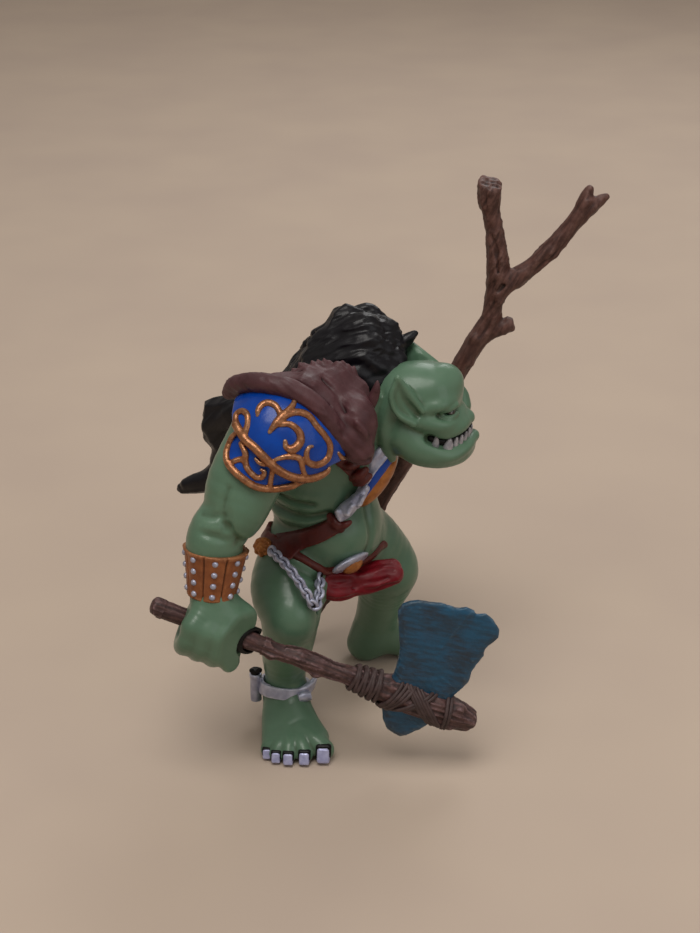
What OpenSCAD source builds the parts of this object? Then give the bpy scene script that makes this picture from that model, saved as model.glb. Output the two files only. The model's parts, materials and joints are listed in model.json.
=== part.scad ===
// Painted miniature figure: a hunched, green-skinned ogre with a stone axe and a forked staff.
// Millimetres. +Z is up, the figure looks along +X, its right hand side is -Y.
// Rounded forms are chains of stations, each station [x, y, z, radius].

/* [Body] */
// Facets around each rounded body form
form_facets = 14; // [14:2:18]
// Diameter of the pegs that join head, arms, legs and fists to the body
peg_d = 5; // [4:0.5:6]
// Radial gap between a peg and its socket
peg_gap = 0.15; // [0.05:0.05:0.3]

/* [Axe] */
// Angle of the axe handle below level
axe_tilt = 22.5; // [18:0.5:26]
// Diameter of the axe handle
handle_d = 4.8; // [4.4:0.1:5.2]
// Thickness of the stone blade
blade_t = 3.2; // [2.4:0.1:4]
// Diameter of the lashing cord
cord_d = 1.2; // [0.8:0.1:1.4]

/* [Staff] */
// Lean of the staff from upright
staff_lean = 28.4; // [27:0.2:30]
// Diameter of the staff shaft
staff_d = 4.6; // [4:0.1:5]

/* [Weapon fits] */
// Radial running gap of each weapon in its fist and of each spigot in its socket
fit_gap = 0.06; // [0.03:0.01:0.1]
// Diameter of the spigots inside the two weapons
spigot_d = 3; // [2.6:0.1:3.2]
// Length of the spigots inside the two weapons
spigot_len = 12; // [8:0.5:13]

/* [Dress and armour] */
// Thickness of belts and straps
strap_t = 1; // [0.7:0.1:1.4]
// Width of belts and straps
strap_w = 3.6; // [3:0.1:4.5]
// Outer radius of the shoulder guard
guard_r = 13.6; // [13.3:0.1:13.8]
// Wall of the shoulder guard
guard_t = 1.4; // [1.1:0.1:1.6]
// Wall of the forearm bracer
bracer_t = 1.1; // [0.8:0.1:1.4]
// Diameter of the bracer studs
stud_d = 1.7; // [1.3:0.1:2]
// Height of the ankle shackle
shackle_h = 3.4; // [2.8:0.1:4]

// Thickness of the chest medallion
medallion_t = 1.8; // [1.4:0.1:2.2]
// Width of the medallion's raised rim
medallion_rim = 1.1; // [0.8:0.1:1.5]

/* [Hidden] */

// Shift that puts the origin under the middle of the whole figure
frame_shift = [-8.15, 1.6, 0];
e = 0.01; // overlap that keeps cuts clean
big = 200; // larger than the whole figure

skin = "darkseagreen";
hair = "#241d1d";
hide = "#5b3a36";
enamel = "#0a4aa0";
gilt = "#c98a4b";
steel = "silver";
leather = "#7a2f26";
wood = "#4a3230";
stone = "#33505c";
scarlet = "#8f1524";

// Body forms
torso_stations = [
    [[-5, -1, 43, 11], [-4.6, -3.4, 49, 12.4], [-8, 0, 56, 11.5], [-7, -1, 66, 13.3], [-6, 1, 74, 12.5]],
    [[-7, -1, 66, 13.3], [0, -2, 67, 11.5]],
    [[-6, 1, 74, 12.5], [-14, -16, 79, 9]],
    [[-6, 1, 74, 12.5], [-8, 16, 75, 8.5]],
    [[-3, -1, 74, 12], [7, -3, 77, 8]]];
head_stations = [
    [[9, -3, 78, 8], [14.5, -4, 82, 9], [18, -4.5, 82, 7.2], [21, -5, 76.5, 7], [24, -6, 71.5, 6.4]],
    [[16, -5, 75, 8.2], [22, -5.5, 72, 7.3]]];
ear_stations = [[[11, -10.5, 84, 3], [8.5, -14, 90, 0.9]], [[11, -10.5, 84, 3], [12, -14, 80.5, 1.5]],
                [[12.5, 4, 85, 3], [15.1, 8, 89.6, 0.9]]];
arm_right_stations = [
    [[-18.5, -21, 79, 8.6], [-24, -27, 70, 7.2], [-28, -29, 63.5, 7.2], [-30.6, -30, 59, 6.6],
     [-30.3, -31, 54, 6.1], [-30.4, -33, 44, 5.5]],
    [[-20, -26.5, 71, 6], [-24, -29.5, 64, 5.8]]];
fist_right_stations = [[[-32.6, -34, 40, 6.4], [-33.2, -34, 35.4, 6.8]], [[-26.8, -34, 40, 5.8], [-25.6, -34.6, 34.4, 5]]];
arm_left_stations = [
    [[-8, 17, 75, 8.6], [-3, 27, 68, 7], [0, 31, 64.5, 6.6], [7, 30, 64, 5.8], [14, 26.2, 65.6, 4.4]]];
fist_left_stations = [[[18.4, 23, 69.5, 5.4], [18.2, 23.4, 64.4, 5.6]], [[22.8, 21.4, 70, 4.8], [21.8, 21.4, 64, 4.6]]];
leg_right_stations = [
    [[-11.5, -7, 41, 10.4], [-14, -15.4, 37.6, 9.6], [-14, -19.6, 33.4, 8.7], [-14.5, -18, 28, 7.4],
     [-15.2, -16, 21, 6.2], [-15.8, -14, 12, 4.8], [-16, -12, 3.4, 4.8]],
    [[-15.6, -15, 8, 4.6], [-14, -24, 3.6, 5]]];
toes_right = [[-6.8, -31, 2.7, 2.9], [-10.9, -32.3, 2.2, 2.2], [-14.5, -32.5, 2, 2.1], [-17.7, -31.6, 1.9, 1.9],
              [-20.5, -30.2, 1.8, 1.8]];
leg_left_stations = [
    [[1, 4, 43, 10.5], [6, 6, 38.5, 10], [10.5, 8, 31, 8.3], [9.5, 11, 22, 6.2], [7.5, 15, 12, 5.3], [4, 16, 3.6, 4.8]],
    [[7, 16, 7, 5], [18, 17.5, 3.4, 4.6]]];
toes_left = [[25, 13.5, 2.7, 2.9], [26, 17.4, 2.1, 2.2], [25.6, 20.6, 1.9, 2.1], [24.4, 23.6, 1.8, 1.9],
             [22.6, 25.8, 1.7, 1.7]];
mane_lumps = [
    [[13, 2, 89, 3.4], [8, 3, 95.5, 3.6], [8, -2, 86, 4], [9, 6, 86, 4]],
    [[8, 3, 95.5, 3.6], [-1, 4, 98, 3.6], [8, -2, 86, 4], [-6, -2, 86, 4.5], [9, 6, 86, 4], [-6, 9, 85, 4.5]],
    [[-1, 4, 98, 3.6], [-8, 4, 87, 4.5], [-6, -2, 86, 4.5], [-6, 9, 85, 4.5]],
    [[-8, 4, 87, 4.5], [-6, 9, 85, 4.5], [-15, 7, 77, 4.5], [-13, 12, 76, 4]]];
tail_lumps = [
    [[-15, 3, 76, 4], [-15, 12, 75, 4], [-27, 8, 72, 4], [-26, 14, 71, 3.4]],
    [[-27, 8, 72, 4], [-26, 14, 71, 3.4], [-32.6, 11, 68, 3.6], [-29, 12, 60, 3.6]],
    [[-29, 12, 60, 3.6], [-35, 13, 53, 2.8]],
    [[-35, 13, 53, 2.8], [-41.5, 14, 50.2, 1.8]]];
pelt_lumps = [
    [[-27, -14, 87.2, 2], [-20, -17, 90.4, 2], [-20, -9, 87, 2.4], [-9, -20, 90.4, 2.2], [-6, -6, 88, 3]],
    [[-9, -20, 90.4, 2.2], [-6, -6, 88, 3], [-3, -22, 87, 2.6], [4, -12, 86, 4]],
    [[-3, -22, 87, 2.6], [4, -12, 86, 4], [2, -21, 79, 4.4]],
    [[2, -21, 79, 4.4], [3.6, -22, 72.8, 2.6]]];
cloth_stations = [[[-8, -10, 36.5, 2.2], [-6, -11.6, 32.8, 2.6], [1, -10, 32.6, 2.8], [7, -8.5, 35, 3], [12.6, -8, 37.4, 2.8]]];

// Weapon frames
axe_grip = [-31, -34, 37.6];
staff_foot = [-14, 22, 2.6];
fist_on_staff = 73.2; // from the staff's foot up to the middle of the left fist
axe_seam = 6.2; // where butt and handle meet, measured from the grip
staff_seam = 79.6; // where shaft and fork meet, measured from the foot
axe_butt_back = -13;
axe_tip = 64;
draw_room = 1; // spare depth of each socket beyond its spigot

blade_outline = [[42.5, -3], [42.6, 6], [41.7, 11], [38.6, 16.5], [36.9, 20.7], [39.7, 23.3], [46.3, 25.2], [52.5, 26.3],
                 [57.6, 26.8], [60.8, 24], [59.2, 19], [59, 14.5], [58, 11], [59.2, 6.4], [58, -3], [54, -8],
                 [51.4, -10.5], [47.6, -10.3], [44.6, -7.6]];

guard_c = [-15.9, -21, 78.4];
shackle_c = [-15.9, -14.6, 9.8];
shackle_r = 6.6;
bracer_top = [-30.2, -31.2, 55.6];
bracer_foot = [-30.4, -33, 45.4];
bracer_r = [7.1, 6.5]; // outer radius at the top and at the foot
medallion_c = [7.1, -9.3, 61.8];
belt_c = [-8, -7, 39.4];
belt_turn = [-9, 25, 0];
belt_w = strap_w * 0.85;
rosette_c = [-20.8, -11.5, 46.4];

// Pegs: [start inside the loose part, end inside the torso or arm]
neck_peg = [[15, -4, 79.5], [2, -1.5, 74]];
shoulder_pegs = [[[-22, -26, 76], [-11, -9, 75]], [[-5, 25, 69.4], [-6, 8, 73]]];
hip_pegs = [[[-12, -12, 42], [-7, -3, 44]], [[5, 6, 39.5], [-2, 2, 44]]];
wrist_pegs = [[[-30.3, -32, 49], [-30.7, -33.4, 42]], [[10, 28.2, 64.8], [17, 24.4, 66.4]]];

// ---- helpers ----
module in_frame() { translate(frame_shift) children(); }

module ball(s, grow) {
    translate([s[0], s[1], s[2]]) sphere(r = s[3] + grow, $fn = form_facets);
}

// Rounded lumps: one hull round each group of stations
module lumps(groups) {
    for (g = groups)
        hull() for (s = g) ball(s, 0);
}

// One rounded mass: a hull between each station and the next
module mass(chains, grow = 0) {
    for (c = chains)
        for (i = [0:len(c) - 2])
            hull() {
                ball(c[i], grow);
                ball(c[i + 1], grow);
            }
}

module above_ground() {
    intersection() {
        children();
        translate([-big / 2, -big / 2, 0]) cube(big);
    }
}

// A straight round rod from one point to another
module rod(from, to, d, facets = 16) {
    v = to - from;
    length = norm(v);
    translate(from)
        rotate([0, acos(v[2] / length), atan2(v[1], v[0])])
            cylinder(d = d, h = length, $fn = facets);
}

module pegs(list, gap = 0) {
    for (p = list) rod(p[0], p[1], peg_d + 2 * gap);
}

module torso_mass(grow = 0) { mass(torso_stations, grow); }
module head_mass() { mass(concat(head_stations, ear_stations)); }
module legs_mass(grow = 0) { mass(concat(leg_right_stations, leg_left_stations), grow); }

module foot_mass(stations, toes, instep) {
    mass(stations);
    for (t = toes) hull() { ball(instep, 0); ball(t, 0); }
}

module leg_right_mass() { foot_mass(leg_right_stations, toes_right, [-14, -24, 3.6, 4.8]); }
module leg_left_mass() { foot_mass(leg_left_stations, toes_left, [18, 17.5, 3.4, 4.5]); }

// ---- body ----
module torso() {
    color(skin) in_frame() difference() {
        torso_mass();
        pegs(concat([neck_peg], shoulder_pegs, hip_pegs), peg_gap);
    }
}

module head() {
    color(skin) in_frame() {
        difference() {
            head_mass();
            torso_mass();
        }
        pegs([neck_peg]);
    }
}

module eyes() {
    color("black") in_frame() difference() {
        for (y = [-9.6, 2.2]) translate([22.6, y, 80]) sphere(r = 2.2, $fn = 16);
        head_mass();
    }
}

// Teeth stand along the lower lip, largest at the corners
module teeth() {
    color("ivory") in_frame() difference() {
        for (i = [-4:4])
            translate([23.2, -5.8, 71.4]) rotate([0, 0, i * 19]) translate([6.6, 0, 0])
                rotate([0, 12, 0]) cylinder(r1 = 0.95, r2 = 0.4, h = abs(i) == 3 ? 4 : 2.8, $fn = 12);
        head_mass();
    }
}

module arm_right() {
    color(skin) in_frame() {
        difference() {
            mass(arm_right_stations);
            torso_mass();
            mass(fist_right_stations);
            pegs([wrist_pegs[0]], peg_gap);
        }
        pegs([shoulder_pegs[0]]);
    }
}

module arm_left() {
    color(skin) in_frame() {
        difference() {
            mass(arm_left_stations);
            torso_mass();
            mass(fist_left_stations);
            pegs([wrist_pegs[1]], peg_gap);
        }
        pegs([shoulder_pegs[1]]);
    }
}

module axe_frame() { translate(axe_grip) rotate([0, axe_tilt, 0]) children(); }
module staff_frame() { translate(staff_foot) rotate([0, staff_lean, 0]) children(); }
// A cylinder along the axe handle, from one distance along it to another
module on_handle(from, to, r1, r2) {
    translate([from, 0, 0]) rotate([0, 90, 0]) cylinder(r1 = r1, r2 = r2, h = to - from, $fn = 32);
}

module hand_right() {
    color(skin) in_frame() difference() {
        union() {
            mass(fist_right_stations);
            rod(wrist_pegs[0][0], wrist_pegs[0][1], peg_d);
        }
        axe_frame() {
            on_handle(-20, 20, handle_d / 2 + fit_gap, handle_d / 2 + fit_gap);
            on_handle(4.4, 20, 3.5, 3.5);
        }
    }
}

module hand_left() {
    color(skin) in_frame() difference() {
        union() {
            mass(fist_left_stations);
            rod(wrist_pegs[1][0], wrist_pegs[1][1], peg_d);
        }
        staff_frame() translate([0, 0, fist_on_staff - 20])
            cylinder(r = staff_d / 2 + fit_gap, h = 40, $fn = 32);
    }
}

module leg_right() {
    color(skin) in_frame() {
        above_ground() difference() {
            leg_right_mass();
            torso_mass();
            leg_left_mass();
        }
        pegs([hip_pegs[0]]);
    }
}

module leg_left() {
    color(skin) in_frame() {
        above_ground() difference() {
            leg_left_mass();
            torso_mass();
        }
        pegs([hip_pegs[1]]);
    }
}

// A nail sits on the end of each toe, pointing the way the foot does
module nails(toes, way) {
    for (t = toes)
        translate([t[0], t[1], t[2] + 0.3 * t[3]] + way * t[3] * 0.7) rotate([way[1] * -62, way[0] * 62, 0])
            cylinder(r = t[3] * 0.62, h = t[3], $fn = 8, center = true);
}

module toenails_right() {
    color("lavender") in_frame() above_ground() difference() {
        nails(toes_right, [0, -1, 0]);
        leg_right_mass();
    }
}

module toenails_left() {
    color("lavender") in_frame() above_ground() difference() {
        nails(toes_left, [1, 0, 0]);
        leg_left_mass();
    }
}

module hair_mane() {
    color(hair) in_frame() difference() {
        lumps(mane_lumps);
        torso_mass();
        head_mass();
        lumps(pelt_lumps);
    }
}

module hair_tail() {
    color(hair) in_frame() difference() {
        lumps(tail_lumps);
        torso_mass();
        lumps(mane_lumps);
        lumps(pelt_lumps);
        guard_ball();
    }
}

// ---- dress and armour ----
module shoulder_pelt() {
    color(hide) in_frame() difference() {
        lumps(pelt_lumps);
        torso_mass();
        head_mass();
        mass(arm_right_stations);
        guard_ball();
    }
}

guard_slant = [0, 27, 0]; // the guard's edges run down toward the front
guard_split = -4.5; // height where the upper dome stops and the lower lame starts
lame_foot = -10; // height of the lame's lower edge

module guard_ball(grow = 0) { translate(guard_c) sphere(r = guard_r + grow, $fn = 28); }

// What lies between two heights on the outer side of the guard
module guard_slice(from, to) {
    intersection() {
        children();
        translate(guard_c) difference() {
            rotate(guard_slant) translate([-20, -20, from]) cube([40, 40, to - from]);
            translate([-big / 2, -1, -big / 2]) cube(big);
        }
    }
}

module pauldron_dome() {
    color(enamel) in_frame() difference() {
        guard_slice(guard_split, guard_r) guard_ball();
        guard_ball(-guard_t);
        mass(arm_right_stations);
        torso_mass();
    }
}

// The lower plate follows the upper arm where the arm comes out from under the dome
module pauldron_lame() {
    color(gilt) in_frame() difference() {
        guard_slice(lame_foot, guard_split) {
            guard_ball();
            mass(arm_right_stations, guard_t);
        }
        guard_ball(-guard_t);
        mass(arm_right_stations);
        torso_mass();
    }
}

module bracer_cone(grow = 0) {
    v = bracer_foot - bracer_top;
    length = norm(v);
    translate(bracer_top)
        rotate([0, acos(v[2] / length), atan2(v[1], v[0])])
            cylinder(r1 = bracer_r[0] + grow, r2 = bracer_r[1] + grow, h = length, $fn = 32);
}

module bracer() {
    color(leather) in_frame() difference() {
        bracer_cone();
        bracer_cone(-bracer_t);
        mass(arm_right_stations);
    }
}

// Four rows of studs, set round the bracer in columns
module bracer_studs() {
    columns = 8;
    rows = 4;
    first = 34.7; // turn that puts one column in the middle of the outer side
    v = bracer_foot - bracer_top;
    length = norm(v);
    color(steel) in_frame() difference() {
        translate(bracer_top)
            rotate([0, acos(v[2] / length), atan2(v[1], v[0])])
                for (i = [0:columns - 1], j = [0:rows - 1])
                    rotate([0, 0, first + i * 360 / columns])
                        translate([bracer_r[0] - j * 0.2 - 0.1, 0, 1.3 + j * (length - 2.6) / (rows - 1)])
                            sphere(d = stud_d, $fn = 16);
        bracer_cone();
    }
}

// A band round the torso: the skin of a slightly larger body, cut to a slab
module band(centre, turn, width, length, depth) {
    difference() {
        intersection() {
            union() {
                torso_mass(strap_t);
                legs_mass(strap_t);
            }
            translate(centre) rotate(turn) cube([length, depth, width], center = true);
        }
        torso_mass();
        legs_mass();
    }
}

module waist_belt() {
    color(leather) in_frame() difference() {
        band(belt_c, belt_turn, belt_w, 44, 30);
        rosette_ball();
        mass(cloth_stations);
    }
}

module chest_strap() {
    color(leather) in_frame() difference() {
        band([-10, -12.6, 51], [0, -28, 0], strap_w * 1.2, 24, 11);
        rosette_ball();
        translate(belt_c) rotate(belt_turn) cube([44, 30, belt_w + e], center = true);
        on_medallion() medallion_blank(medallion_t);
    }
}

module shoulder_strap() {
    color(leather) in_frame() difference() {
        band([-0.4, -12, 66.4], [0, 88, 0], strap_w, 17, 13);
        lumps(pelt_lumps);
        head_mass();
        on_medallion() medallion_blank(medallion_t);
        fitting_body();
        translate([-10, -12.6, 51]) rotate([0, -28, 0]) cube([24, 11, strap_w * 1.2 + e], center = true);
    }
}

module fitting_body() {
    translate([-1, -12.6, 57.2]) rotate([0, 80, -70]) cylinder(r = 2.8, h = 4, $fn = 24, center = true);
}

module strap_fitting() {
    color(steel) in_frame() difference() {
        fitting_body();
        torso_mass(strap_t);
        on_medallion() medallion_blank(medallion_t);
    }
}

function oval(a, b, n = 28) = [for (i = [0:n - 1]) [a * cos(i * 360 / n), b * sin(i * 360 / n)]];

module on_medallion() {
    translate(medallion_c) rotate([114, -52, 24]) children();
}

module medallion_blank(t, rim = 0) {
    linear_extrude(t) polygon(oval(10.2 - rim, 4.6 - rim));
}

module medallion_frame() {
    color(steel) in_frame() difference() {
        on_medallion() difference() {
            medallion_blank(medallion_t);
            translate([0, 0, -e]) medallion_blank(medallion_t + 2 * e, medallion_rim);
        }
        torso_mass();
        head_mass();
        lumps(pelt_lumps);
    }
}

module medallion_plate() {
    color(enamel) in_frame() difference() {
        on_medallion() translate([0, 0, 0.4]) medallion_blank(medallion_t - 0.6, medallion_rim);
        torso_mass();
        head_mass();
        lumps(pelt_lumps);
    }
}

module belt_buckle() {
    color(steel) in_frame() difference() {
        translate([1.8, -13, 41.8]) rotate([0, 113, -49]) cylinder(r = 4.2, h = 1.8, $fn = 32, center = true);
        torso_mass(strap_t);
        legs_mass(strap_t);
        mass(cloth_stations);
    }
}

module rosette_ball() { translate(rosette_c) sphere(r = 2.7, $fn = 24); }

module hip_rosette() {
    color(gilt) in_frame() difference() {
        rosette_ball();
        torso_mass();
        legs_mass();
    }
}

// Chain links alternate between flat and on edge, and hang in a slack loop on the thigh
chain_points = [[-18.8, -17.2, 48], [-15, -22.2, 47.2], [-11.4, -25, 44.4], [-6.8, -26.4, 38.6], [-4.9, -23, 41.4], [-4.8, -19.4, 44.6]];
link_r = 1.1;
link_wire = 0.3;
link_pitch = 1.5;

module hip_chain() {
    color(steel) in_frame()
        for (i = [0:len(chain_points) - 2]) {
            a = chain_points[i];
            v = chain_points[i + 1] - a;
            count = floor(norm(v) / link_pitch);
            for (k = [0:count - 1])
                translate(a + v * (k + 0.5) / count)
                    rotate([0, acos(v[2] / norm(v)), atan2(v[1], v[0])])
                        rotate([90, 0, (k % 2) * 90])
                            rotate_extrude($fn = 16) translate([link_r, 0]) circle(r = link_wire, $fn = 16);
        }
}

module loincloth() {
    color(scarlet) in_frame() difference() {
        mass(cloth_stations);
        torso_mass(strap_t);
        leg_right_mass();
        leg_left_mass();
    }
}

module ankle_shackle() {
    color(steel) in_frame() difference() {
        translate(shackle_c) cylinder(r = shackle_r, h = shackle_h, $fn = 32, center = true);
        leg_right_mass();
        shackle_bolt_rods();
    }
}

module shackle_bolt_rods() {
    translate(shackle_c + [-7, -0.6, 0]) cylinder(r = 1.3, h = 8, $fn = 16, center = true);
    translate(shackle_c + [6, -1.4, 0]) cylinder(r = 1.3, h = 5.4, $fn = 16, center = true);
}

module shackle_bolts() {
    color(steel) in_frame() difference() {
        shackle_bolt_rods();
        mass(leg_right_stations);
    }
}

// ---- axe ----
// Rear stub: rolls in the fist, and its socket takes the handle's spigot
module axe_butt() {
    r = handle_d / 2;
    color(wood) in_frame() axe_frame() difference() {
        union() {
            on_handle(axe_butt_back, axe_seam, r, r);
            translate([axe_butt_back, 0, 0]) sphere(r = r, $fn = 32);
        }
        on_handle(axe_seam - spigot_len - draw_room, axe_seam + e, spigot_d / 2 + fit_gap, spigot_d / 2 + fit_gap);
    }
}

module blade_solid() {
    rotate([90, 0, 0]) linear_extrude(blade_t, center = true) polygon(blade_outline);
}

module axe_handle() {
    r = handle_d / 2;
    color(wood) in_frame() axe_frame() difference() {
        union() {
            on_handle(axe_seam, 41, r, r);
            on_handle(41, 58, r + 0.9, r + 0.9);
            on_handle(58, axe_tip, r + 0.9, r);
            on_handle(axe_seam - spigot_len, axe_seam, spigot_d / 2, spigot_d / 2);
        }
        blade_solid();
    }
}

module axe_blade() {
    color(stone) in_frame() axe_frame() blade_solid();
}

// Turns of cord behind the stone, and three over the handle in front of it
module axe_lashing() {
    r = handle_d / 2;
    color("#8a8078") in_frame() axe_frame() difference() {
        union() {
            for (i = [0:3])
                translate([36 + i * cord_d, 0, 0]) rotate([0, 90, 0])
                    rotate_extrude($fn = 32) translate([r + cord_d / 2, 0]) circle(d = cord_d - e, $fn = 16);
            for (x = [44.5, 46.2, 55, 56.8])
                translate([x, 0, 0]) rotate([0, 90, 0])
                    rotate_extrude($fn = 32) translate([r + 0.9 + cord_d / 2, 0]) circle(d = cord_d - e, $fn = 16);
        }
        blade_solid();
    }
}

// ---- staff ----
module staff_shaft() {
    r = staff_d / 2;
    color(wood) in_frame() staff_frame() difference() {
        union() {
            cylinder(r = r, h = staff_seam, $fn = 32);
            sphere(r = r, $fn = 32);
        }
        translate([0, 0, staff_seam - spigot_len - draw_room])
            cylinder(r = spigot_d / 2 + fit_gap, h = spigot_len + draw_room + e, $fn = 32);
    }
}

// Distances [across, 0, up] in the staff's own frame, with radii
fork_stations = [
    [[0, 0, 90, 2.3], [0.8, 0, 98, 2.9], [-1.9, 0, 110.3, 2.9]],
    [[-1.9, 0, 110.3, 2.9], [-11, 0, 120, 2.5], [-17, 0, 129.4, 2.4]],
    [[-1.9, 0, 110.3, 2.9], [3, 0, 121.6, 2.2], [8.2, 0, 139.4, 2.2]],
    [[0.8, 0, 98, 2.9], [4.2, 0, 99.6, 1.9]]];

module staff_fork() {
    r = staff_d / 2;
    color(wood) in_frame() staff_frame() {
        mass(fork_stations);
        translate([0, 0, staff_seam]) cylinder(r = r, h = 11, $fn = 32);
        translate([0, 0, staff_seam - spigot_len]) cylinder(r = spigot_d / 2, h = spigot_len + e, $fn = 32);
    }
}

torso();
head();
eyes();
teeth();
arm_right();
hand_right();
arm_left();
hand_left();
leg_right();
leg_left();
toenails_right();
toenails_left();
hair_mane();
hair_tail();
shoulder_pelt();
pauldron_dome();
pauldron_lame();
bracer();
bracer_studs();
shoulder_strap();
chest_strap();
strap_fitting();
medallion_frame();
medallion_plate();
waist_belt();
belt_buckle();
hip_rosette();
hip_chain();
loincloth();
ankle_shackle();
shackle_bolts();
axe_butt();
axe_handle();
axe_blade();
axe_lashing();
staff_shaft();
staff_fork();
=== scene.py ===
"""Painted miniature figure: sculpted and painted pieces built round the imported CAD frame.

Shapes are worked in the figure's own millimetres, as in the CAD source: +X is where the figure looks, -Y its right
hand side, and a station is (x, y, z, radius). A Field holds signed distances on a grid, rounded shapes are joined to
it or cut from it, and its zero surface becomes the mesh of a piece.
"""
import json
import math

import bmesh
import bpy
import numpy as np
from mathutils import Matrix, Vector


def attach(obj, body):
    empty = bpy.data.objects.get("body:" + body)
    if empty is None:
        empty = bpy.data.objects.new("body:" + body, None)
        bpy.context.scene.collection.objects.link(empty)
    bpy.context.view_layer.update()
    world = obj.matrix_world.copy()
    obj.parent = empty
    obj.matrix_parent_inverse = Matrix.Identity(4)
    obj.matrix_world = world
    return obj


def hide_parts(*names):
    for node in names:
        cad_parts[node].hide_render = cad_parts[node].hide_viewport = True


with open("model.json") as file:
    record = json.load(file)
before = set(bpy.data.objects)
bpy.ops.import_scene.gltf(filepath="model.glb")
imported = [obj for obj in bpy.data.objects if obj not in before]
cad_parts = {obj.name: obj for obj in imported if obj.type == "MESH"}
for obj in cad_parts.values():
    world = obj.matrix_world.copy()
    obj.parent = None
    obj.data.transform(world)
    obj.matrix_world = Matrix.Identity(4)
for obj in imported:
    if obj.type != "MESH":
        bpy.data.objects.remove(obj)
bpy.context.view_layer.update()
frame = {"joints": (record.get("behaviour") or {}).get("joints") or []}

MM = 0.001
FAR = 50.0
RESOLUTION = 1.0  # multiplies every grid step

# ---- places taken from the frame ----
AXE_GRIP = np.array([-31, -34, 37.6])
STAFF_FOOT = np.array([-14, 22, 2.6])
JOINTS = {j["name"]: j for j in frame["joints"]}
SHIFT = np.array(JOINTS["axe_roll"]["pos_m"]) / MM - AXE_GRIP
AXE_AXIS = np.array(JOINTS["axe_roll"]["axis"])
STAFF_AXIS = np.array(JOINTS["staff_turn"]["axis"])
Y = np.array([0.0, 1.0, 0.0])


def unit(v):
    v = np.asarray(v, float)
    return v / np.linalg.norm(v)


# ---- noise ----
def lattice(i, j, k, seed):
    """A repeatable value from -1 to 1 for each whole-number place: large odd factors scramble the bits."""
    n = (i * 374761393 + j * 668265263 + k * 1440662683 + seed * 974634777) & 0x7FFFFFFF
    n = ((n ^ (n >> 13)) * 1274126177) & 0x7FFFFFFF
    return (n ^ (n >> 16)) / 0x3FFFFFFF - 1.0


def cell_corners(f):
    """Each corner of a unit cell, with its weight for points at fractions f of the cell."""
    for corner in np.ndindex(2, 2, 2):
        weight = np.ones(len(f))
        for axis in range(3):
            weight *= f[:, axis] if corner[axis] else 1 - f[:, axis]
        yield corner, weight


def noise(p, seed):
    """Smooth noise from -1 to 1 at each row of p, with features about one unit across."""
    cell = np.floor(p).astype(np.int64)
    f = p - cell
    f = f * f * (3 - 2 * f)
    return sum(weight * lattice(*(cell + corner).T, seed) for corner, weight in cell_corners(f))


def layered_noise(p, layers, seed):
    return sum(noise(p * 2**k, seed + k) / 2**k for k in range(layers)) / (2 - 2 ** (1 - layers))


def ridges(p, seed):
    """Noise that peaks in thin lines, from 0 to 1."""
    return 1 - np.abs(noise(p, seed)) * 2


# ---- signed distance shapes ----
class Shape:
    """A distance function on grid lines x, y, z, and the box outside which it doesn't matter."""

    def __init__(self, low, high, distance):
        self.low, self.high, self.distance = np.array(low, float), np.array(high, float), distance


def open_grid(x, y, z):
    return x[:, None, None], y[None, :, None], z[None, None, :]


def capsule(a, b):
    a, b = np.array(a, float), np.array(b, float)
    axis = b[:3] - a[:3]
    square = max(float(axis @ axis), 1e-9)
    low = np.minimum(a[:3] - a[3], b[:3] - b[3])
    high = np.maximum(a[:3] + a[3], b[:3] + b[3])

    def distance(x, y, z):
        px, py, pz = open_grid(x - a[0], y - a[1], z - a[2])
        t = np.clip((px * axis[0] + py * axis[1] + pz * axis[2]) / square, 0, 1)
        reach = (px - t * axis[0]) ** 2 + (py - t * axis[1]) ** 2 + (pz - t * axis[2]) ** 2
        return np.sqrt(reach) - (a[3] + t * (b[3] - a[3]))

    return Shape(low, high, distance)


def ball(x, y, z, r):
    return capsule((x, y, z, r), (x, y, z, r))


def smooth_path(stations, per_span=4):
    """A Catmull-Rom curve through the stations, in all their components."""
    s = np.array(stations, float)
    s = np.vstack([2 * s[0] - s[1], s, 2 * s[-1] - s[-2]])
    out = []
    for i in range(1, len(s) - 2):
        for t in np.arange(per_span) / per_span:
            a, b, c, d = s[i - 1 : i + 3]
            out.append(0.5 * (2 * b + (c - a) * t + (2 * a - 5 * b + 4 * c - d) * t**2
                              + (3 * b - a - 3 * c + d) * t**3))
    out.append(s[-2])
    return np.array(out)


def chain(stations, per_span=4, reach=3.0):
    """One rounded limb, strand or crease through the stations."""
    path = smooth_path(stations, per_span) if len(stations) > 2 else np.array(stations, float)
    links = [capsule(a, b) for a, b in zip(path, path[1:])]
    low = np.min([k.low for k in links], axis=0)
    high = np.max([k.high for k in links], axis=0)

    def distance(x, y, z):
        out = np.full((len(x), len(y), len(z)), FAR, np.float32)
        for k in links:
            cut = tuple(slice(np.searchsorted(line, k.low[i] - reach), np.searchsorted(line, k.high[i] + reach))
                        for i, line in enumerate((x, y, z)))
            if all(c.stop > c.start for c in cut):
                part = k.distance(x[cut[0]], y[cut[1]], z[cut[2]])
                out[cut] = np.minimum(out[cut], part)
        return out

    return Shape(low, high, distance)


def ellipsoid(centre, radii, frame_axes=None):
    """frame_axes are three unit vectors as rows; the world's if left out."""
    centre, radii = np.array(centre, float), np.array(radii, float)
    axes = np.eye(3) if frame_axes is None else np.array(frame_axes, float)
    half = np.sqrt(((axes.T * radii) ** 2).sum(1))

    def distance(x, y, z):
        p = open_grid(x - centre[0], y - centre[1], z - centre[2])
        local = [sum(p[i] * axes[k][i] for i in range(3)) for k in range(3)]
        near = np.sqrt(sum((q / r) ** 2 for q, r in zip(local, radii)))
        far = np.sqrt(sum((q / r**2) ** 2 for q, r in zip(local, radii)))
        return near * (near - 1) / np.maximum(far, 1e-6)

    return Shape(centre - half, centre + half, distance)


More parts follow.
